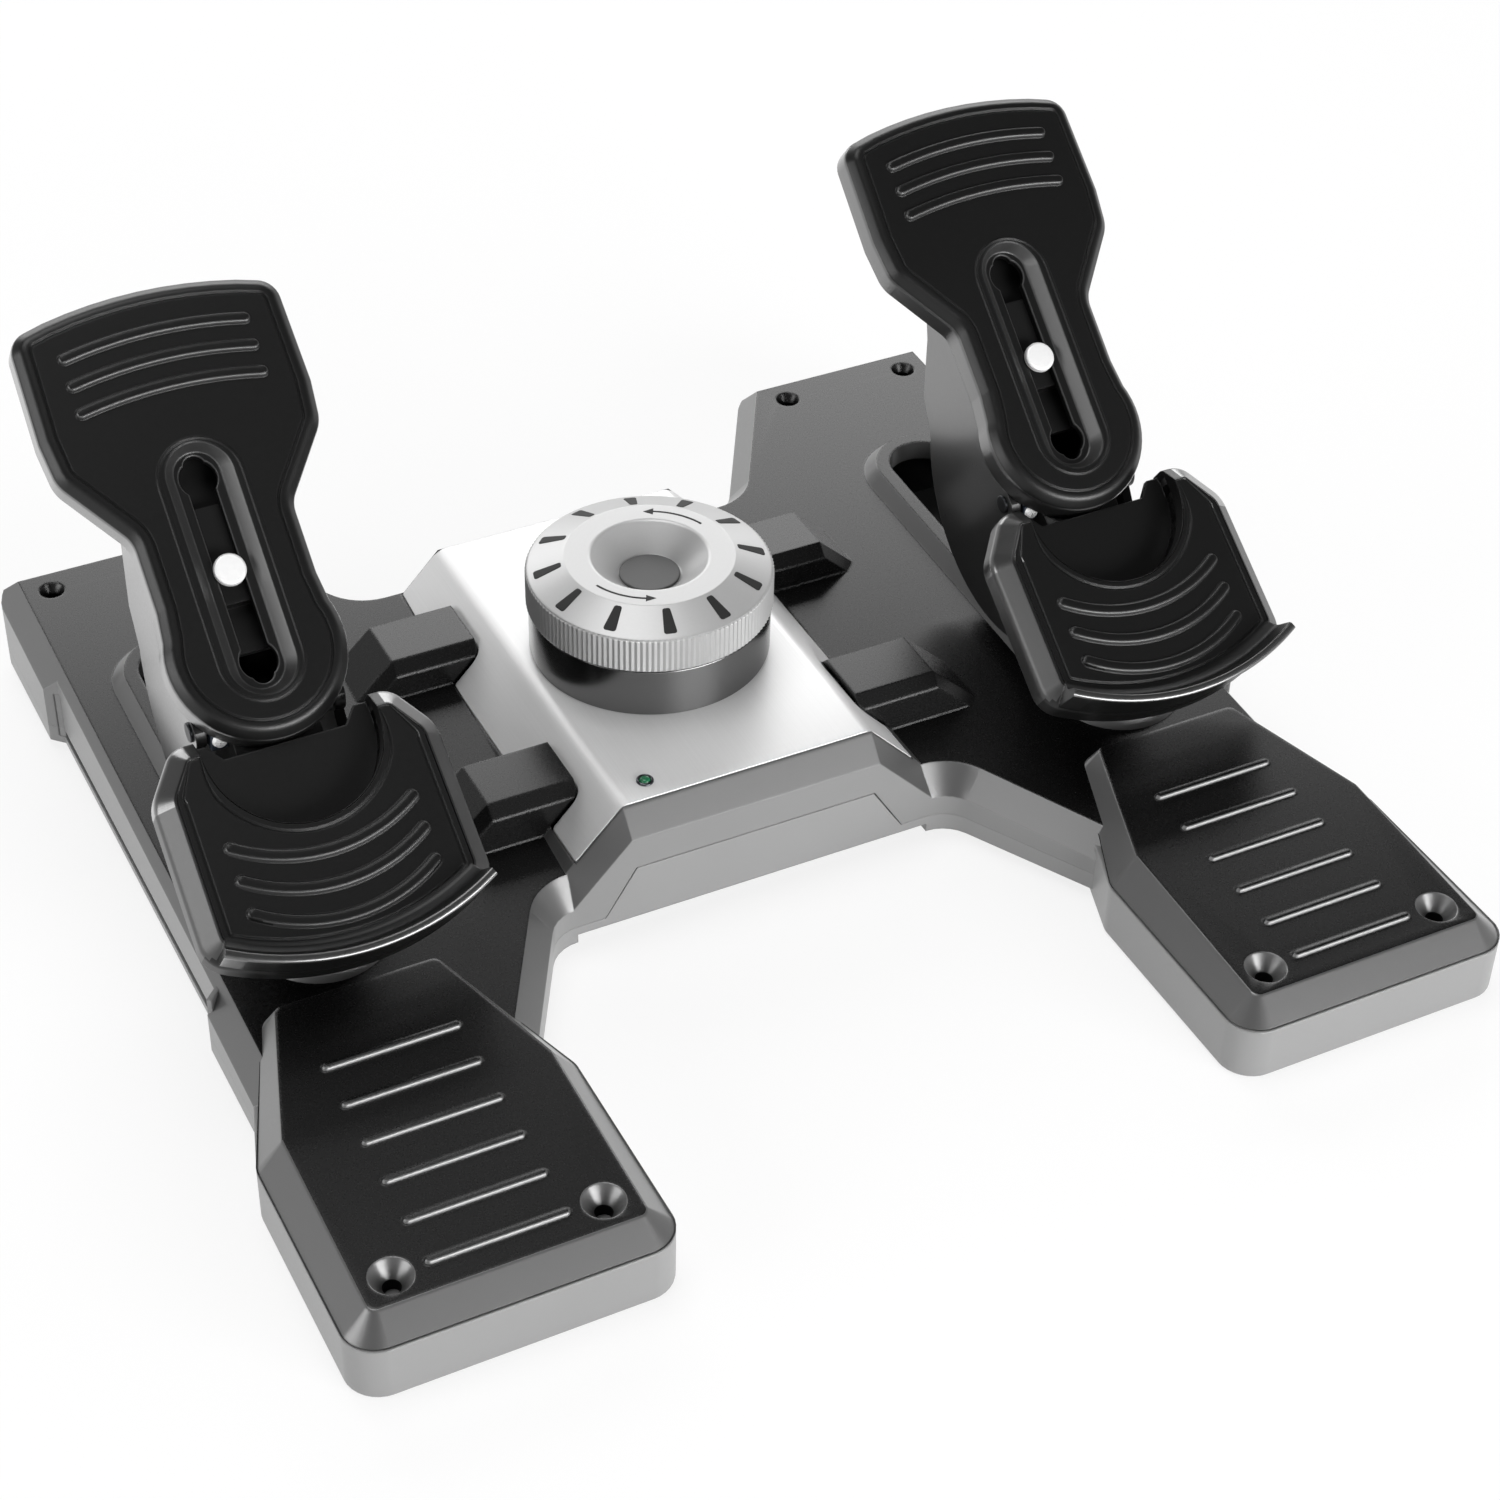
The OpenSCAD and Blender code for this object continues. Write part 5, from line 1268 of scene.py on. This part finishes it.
@dataclass
class HeelCup:
    """Heel cup: face with a round cut-out, side skirts, ribs and a raised front lip. Sizes in millimetres."""

    frame: Frame
    side: Side
    width: float = 43.0
    front: float = -16.0
    lip_radius: float = 88.0
    cut: float = 30.0
    cut_at: float = 43.5
    horn: float = 44.5
    skirt: float = 6.5
    depth: float = 14.0
    skirt_wall: float = 2.8
    ribs: int = 3
    rib_radius: float = 56.0
    rib_half: float = 31.0
    rib_start: float = 3.0
    rib_pitch: float = 11.2
    rib_zone: Point = (20.0, 44.0)
    ramp_top: float = -11.0
    lip_bevel: float = 1.9
    lip_crest: float = 8.9
    ear: Point = (32.0, 29.0)

    @property
    def lip_at(self) -> float:
        """Place of the front lip's axis."""
        return self.front + math.sqrt(self.lip_radius ** 2 - self.width ** 2)

    def outline(self) -> tuple[Loop, range]:
        """Works out the face.

        Returns:
            Its outline, and where in it the round cut-out's points are.
        """
        reach = math.degrees(math.asin(self.width / self.lip_radius))
        bow = arc((0, self.lip_at), self.lip_radius, -90 - reach, -90 + reach, 24)
        front = [(*bow[0], 4.0), *[(x, y, 0.0) for x, y in bow[1:-1]], (*bow[-1], 4.0)]
        horn = [(self.width - 0.6, 33.0, 7.0), (self.cut + 4.2, self.horn, 2.2)]
        head = rounded(front + both_sides(horn), 6)
        end = math.degrees(math.asin(1.0 / self.cut))
        notch = arc((0, self.cut_at), self.cut, 360 + end, 180 - end, 40)
        split = next(i for i, (x, y) in enumerate(head) if x < 0 and y > self.cut_at - 0.5)
        return head[:split] + notch + head[split:], range(split, split + len(notch))

    @staticmethod
    def moved(line: Loop, notch: range, distance: float) -> Loop:
        """Outline moved inwards; outwards the cut-out keeps its upright wall, inwards the horns taper.

        Args:
            line: the outline.
            notch: where in it the cut-out's points are.
            distance: how far it moves.

        Returns:
            The new outline.
        """
        out = []
        for i, ((x, y), (u, v)) in enumerate(zip(line, inset(line, 1.0))):
            taper = 1.0 - 0.8 * min(1.0, max(0.0, (y - 31.0) / 12.0))
            if distance < 0 and i in notch:
                out.append((x, y - distance if i in (notch[0], notch[-1]) else y))
            else:
                move = distance * taper if distance >= 0 else distance
                out.append((x + (u - x) * move, y + (v - y) * move))
        return out

    def build(self) -> None:
        """Builds the cup with its ribs, floor and lip."""
        line, notch = self.outline()
        wall = self.skirt_wall - self.skirt
        profile = eased([(wall, -6.0), (wall, 0.3 - self.depth, 0.2), (-self.skirt, -self.depth, 0.6),
                         (-self.skirt, -6.0, 1.8), (-0.3, -0.2, 0.8), (0.3, 0.05, 0.1), (2.3, 0.05, 0.1),
                         (2.6, -0.45, 0.1), (3.1, -0.45, 0.1), (3.5, 0.0)], 4)
        skin = Skin()
        rings = skin.loft([(self.moved(line, notch, move), height) for move, height in profile])
        skin.cap(rings[-1])
        skin.cap(rings[0])
        for k in range(self.ribs):
            rib = arc_band(self.rib_radius, self.rib_half, self.rib_start - k * self.rib_pitch, 2.1, False)
            skin.rib(rib, 1.9, -0.5, ease=0.8)
        self.ramp(skin)
        self.lip(skin)
        node = self.side.word + "_heel_cup"
        skin.finish(self.frame, node + "_shell", node, [PEDAL_TOP, PEDAL_WALL_PAINTED_LIGHT, CUP_WALL_PAINTED_LIGHT],
                    CUP_SEAT.matrix(self.side), self.paint)

    def ramp(self, skin: Skin) -> None:
        """Adds the dark floor below the cut-out.

        Args:
            skin: the cup so far.
        """
        right = [(31.0, 50.0), (25.5, 50.0), (21.0, 44.3)]
        round_cut = arc((0, self.cut_at), self.cut + 1.0, 180, 360, 40)
        floor = round_cut + right + [(-x, y) for x, y in reversed(right)]
        top = self.ramp_top
        skin.block(floor, eased([(0.0, 0.2 - self.depth), (0.0, top, 0.3), (0.4, top)], 2))

    def lip(self, skin: Skin) -> None:
        """Adds the raised front lip, turned about its own axis, with rounded ends.

        Args:
            skin: the cup so far.
        """
        r = self.lip_radius
        reach = math.asin((self.width + 2.5) / (r + 6))
        section = eased([(r - 4, -2.0), (r - 1.2, 0.1, 1.2), (r + 2.2, 2.2, 1.6), (r + 3.8, 8.4, 1.3),
                         (r + 4.4, 10.0, 0.8), (r + 7.2, 9.6, 1.1), (r + 6.8, 4.0, 2.0), (r + 6.2, -6.0, 2.0),
                         (r + 2.0, -10.0)], 4)
        bm = bmesh.new()
        verts = [bm.verts.new((0.0, -a, b)) for a, b in section]
        face = bm.faces.new(verts)
        bmesh.ops.rotate(bm, cent=(0, 0, 0), matrix=Matrix.Rotation(-reach, 3, "Z"), verts=bm.verts)
        bmesh.ops.spin(bm, geom=[face], cent=(0, 0, 0), axis=(0, 0, 1), angle=2 * reach, steps=40,
                       use_duplicate=False)
        bmesh.ops.recalc_face_normals(bm, faces=bm.faces)
        rim = {edge for end in bm.faces if len(end.verts) > 6 for edge in end.edges}
        bmesh.ops.bevel(bm, geom=list(rim), offset=self.lip_bevel, segments=5, profile=0.5, affect="EDGES",
                        clamp_overlap=True, material=-1)
        bmesh.ops.translate(bm, vec=(0, self.lip_at, 0), verts=bm.verts)
        skin.absorb(bm)

    def paint(self, normal: Vector, centre: Vector) -> int:
        """Grained face, ribs and lip; painted light on the satin outer sides, left skirts above all, on the
        lip's crest and left end and on the ribs' sides.

        Args:
            normal: the face's normal.
            centre: its middle.

        Returns:
            The slot.
        """
        steep = normal.z < 0.8
        if steep and centre.y > self.ear[1] and abs(centre.x) > self.ear[0]:
            return 1
        if steep and abs(centre.x) > self.width - 1 and centre.y > self.front - 2:
            # Painted light: skirts on the left, facing the key light, are paler; on the right only faces
            # turned up are.
            return 2 if centre.x < 0 or normal.z > 0.55 else 0
        on_lip = centre.y < 5 and math.hypot(centre.x, centre.y - self.lip_at) > self.lip_radius + 3.0
        lip_end = centre.x < 3 - self.width and centre.z > -2
        # Painted light on the lip's crest and left end.
        if on_lip and (centre.z > self.lip_crest or lip_end):
            return 1
        zone_y, zone = self.rib_zone
        on_rib = math.hypot(centre.x, centre.y - zone_y) < zone and centre.z > 0.1
        # Painted light on the ribs' sides.
        return 2 if on_rib and normal.z < 0.9 else 0


@dataclass
class Pedal:
    """One pedal: arm, heel cup, toe arm and toe plate with their fasteners. Sizes in millimetres."""

    frame: Frame
    side: Side
    clamp_at: float = 38.3
    clamp_head: float = 5.5
    clamp_shank: float = 3.0
    hinge_at: Point = (13.5, 92.5)
    hinge_half: float = 27.0
    hinge_radii: Point = (3.4, 3.0)

    def build(self) -> None:
        """Builds the pedal's pieces."""
        word = self.side.word
        # The carriage is painted shade all over: dull black.
        recast(self.frame, word + "_carriage", [SHADE_BLACK])
        recast(self.frame, word + "_pedal_arm", [PEDAL_TOP])
        recast(self.frame, word + "_toe_arm", [PEDAL_TOP, PEDAL_WALL_PAINTED_LIGHT, SHADE_BLACK], self.arm_paint)
        self.clamp_screw(word + "_clamp_screw")
        self.hinge_pin(word + "_hinge_pin")
        recast(self.frame, word + "_sensor_screw", [SCREW_BRIGHT])
        HeelCup(self.frame, self.side).build()
        ToePlate(self.frame, self.side).build()
        self.frame.dress(LINK_STEEL, word + "_brake_spring")
        self.frame.dress(SENSOR_BLUE, word + "_brake_sensor")

    @staticmethod
    def arm_paint(normal: Vector, centre: Vector) -> int:
        """Polished cheeks with painted light, and painted shade, dull black, where the arm is seen through
        the plate's slot.
        """
        return 1 if abs(normal.x) > 0.9 else 2 if normal.z > 0.5 and normal.y < -0.3 else 0

    def clamp_screw(self, node: str) -> None:
        """Builds the screw head on the recess floor, with its shank below.

        Args:
            node: the screw's CAD node.
        """
        r, shank = self.clamp_head, self.clamp_shank
        profile = eased([(0.0, -16.0), (shank, -16.0), (shank, -4.1), (r, -4.1, 0.2), (r, -2.2, 0.5),
                         (r - 0.7, -1.6, 0.3), (0.0, -1.45)])
        place = PLATE_SEAT.matrix(self.side) @ Matrix.Translation((0, self.clamp_at, 0))
        Skin(spun(profile, 48)).finish(self.frame, node + "_head", node, [SCREW_BRIGHT], place, sharp=60)

    def hinge_pin(self, node: str) -> None:
        """Builds the pin of the toe hinge, with flat heads on the cheeks.

        Args:
            node: the pin's CAD node.
        """
        end, (head, shank) = self.hinge_half, self.hinge_radii
        half = [(0.0, end), (head, end, 0.5), (head, end - 0.95), (shank, end - 0.95)]
        profile = eased([(p[0], -p[1], *p[2:]) for p in half] + list(reversed(half)))
        across = Matrix.Rotation(math.pi / 2, 4, "Y")
        place = Matrix.Translation((self.side.value * PEDAL_X, *self.hinge_at)) @ across
        Skin(spun(profile, 40)).finish(self.frame, node + "_turned", node, [DARK_STEEL], place, sharp=60)


# Studio


@dataclass(frozen=True)
class SoftLight:
    """A rectangular soft light, aimed at the middle of the object. Sizes are in metres."""

    name: str
    place: tuple[float, float, float]
    size: Point
    power: float

    def build(self, aim: Vector) -> None:
        """Adds the light.

        Args:
            aim: the point that it faces.
        """
        lamp = bpy.data.lights.new(self.name, "AREA")
        lamp.shape = "RECTANGLE"
        lamp.size, lamp.size_y = self.size
        lamp.energy = self.power
        piece = bpy.data.objects.new(self.name, lamp)
        piece.location = self.place
        piece.rotation_mode = "QUATERNION"
        piece.rotation_quaternion = (aim - Vector(self.place)).to_track_quat("-Z", "Y")
        bpy.context.scene.collection.objects.link(piece)


@dataclass
class Studio:
    """White floor, soft light and the camera of the product picture. Metres and degrees."""

    azimuth: float = -27.139
    elevation: float = 39.272
    roll: float = 1.203
    distance: float = 1.09308
    target: tuple[float, float, float] = (0.0, -0.021, 0.04829)
    lens: float = 75.25
    sensor: float = 36.0
    sight: float = 50.0
    shift: Point = (0.0151, -0.0008)
    floor_half: float = 12.0
    floor_white: float = 0.8
    horizon: float = 0.65
    zenith: float = 0.1
    fade: Point = (0.2, 0.7)
    lights: tuple[SoftLight, ...] = field(default_factory=lambda: (
        SoftLight("left soft box", (-2.4, -0.1, 0.8), (1.8, 1.1), 26.0),
        SoftLight("front soft box", (0.75, -2.4, 0.6), (1.9, 1.0), 84.0),
        SoftLight("rear sweep", (0.8, 2.8, 1.5), (4.0, 1.7), 72.0),
        SoftLight("overhead soft box", (-0.3, 0.35, 2.4), (1.4, 1.4), 22.0),
    ))

    def build(self) -> None:
        """Builds the floor, the light and the camera."""
        self.floor()
        self.sky()
        for light in self.lights:
            light.build(Vector(self.target))
        self.camera()

    def floor(self) -> None:
        """A wide plain white floor that keeps the object's soft shadow."""
        bm = bmesh.new()
        bmesh.ops.create_grid(bm, x_segments=2, y_segments=2, size=self.floor_half)
        mesh = bpy.data.meshes.new("floor")
        bm.to_mesh(mesh)
        bm.free()
        mat = bpy.data.materials.new("white_paper_floor")
        mat.use_nodes = True
        tree = mat.node_tree
        tree.nodes.clear()
        paper = add_node(tree, "ShaderNodeBsdfDiffuse", {"in:Color": linear("#f7f7f7")})
        white = add_node(tree, "ShaderNodeEmission", {"in:Strength": 1.0})
        ray = add_node(tree, "ShaderNodeLightPath")
        seen = add_node(tree, "ShaderNodeMath", {"operation": "MAXIMUM"}, {
            0: ray.outputs["Is Camera Ray"], 1: ray.outputs["Is Glossy Ray"]})
        share = add_node(tree, "ShaderNodeMath", {"operation": "MULTIPLY", "in:1": self.floor_white},
                         {0: seen.outputs[0]})
        mix = add_node(tree, "ShaderNodeMixShader", links={
            0: share.outputs[0], 1: paper.outputs[0], 2: white.outputs[0]})
        add_node(tree, "ShaderNodeOutputMaterial", links={"Surface": mix.outputs[0]})
        mesh.materials.append(mat)
        floor = bpy.data.objects.new("floor", mesh)
        bpy.context.scene.collection.objects.link(floor)

    def sky(self) -> None:
        """White to the camera; for the object bright near the horizon and calmer above."""
        world = bpy.data.worlds.new("studio")
        bpy.context.scene.world = world
        world.use_nodes = True
        tree = world.node_tree
        tree.nodes.clear()
        way = add_node(tree, "ShaderNodeSeparateXYZ", links={
            0: add_node(tree, "ShaderNodeTexCoord").outputs["Generated"]})
        level = add_node(tree, "ShaderNodeMapRange", {
            "interpolation_type": "SMOOTHSTEP", "in:1": self.fade[0], "in:2": self.fade[1],
            "in:3": self.horizon, "in:4": self.zenith}, {0: way.outputs["Z"]})
        room = add_node(tree, "ShaderNodeBackground", links={"Strength": level.outputs[0]})
        white = add_node(tree, "ShaderNodeBackground", {"in:Strength": 1.0})
        ray = add_node(tree, "ShaderNodeLightPath")
        mix = add_node(tree, "ShaderNodeMixShader", links={
            0: ray.outputs["Is Camera Ray"], 1: room.outputs[0], 2: white.outputs[0]})
        add_node(tree, "ShaderNodeOutputWorld", links={"Surface": mix.outputs[0]})

    def camera(self) -> None:
        """The picture's camera: a long lens from the front left, looking down."""
        a, e, roll = (math.radians(v) for v in (self.azimuth, self.elevation, self.roll))
        back = Vector((math.sin(a) * math.cos(e), -math.cos(a) * math.cos(e), math.sin(e)))
        right = (-back).cross(Vector((0, 0, 1))).normalized()
        up = right.cross(-back)
        turned_right = right * math.cos(roll) + up * math.sin(roll)
        turned_up = up * math.cos(roll) - right * math.sin(roll)
        data = bpy.data.cameras.new("picture camera")
        data.sensor_width = self.sensor
        data.lens = self.lens
        data.shift_x, data.shift_y = self.shift
        data.clip_end = self.sight
        camera = bpy.data.objects.new("picture camera", data)
        pose = Matrix((turned_right, turned_up, back)).transposed().to_4x4()
        pose.translation = Vector(self.target) + back * self.distance
        camera.matrix_world = pose
        bpy.context.scene.collection.objects.link(camera)
        bpy.context.scene.camera = camera
        bpy.context.scene.view_settings.view_transform = "Standard"


def main() -> None:
    """Builds the studio and every sub-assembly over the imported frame."""
    logging.basicConfig(level=logging.INFO, format="%(message)s")
    frame = Frame.load()
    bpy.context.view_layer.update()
    Studio().build()
    CaseShells(frame).build()
    for side in Side:
        FootRest(frame, side).build()
    CentrePanel(frame).build()
    TensionKnob(frame).build()
    PowerLamp(frame).build()
    Linkage(frame).build()
    for side in Side:
        Pedal(frame, side).build()


if __name__ == "__main__":
    main()
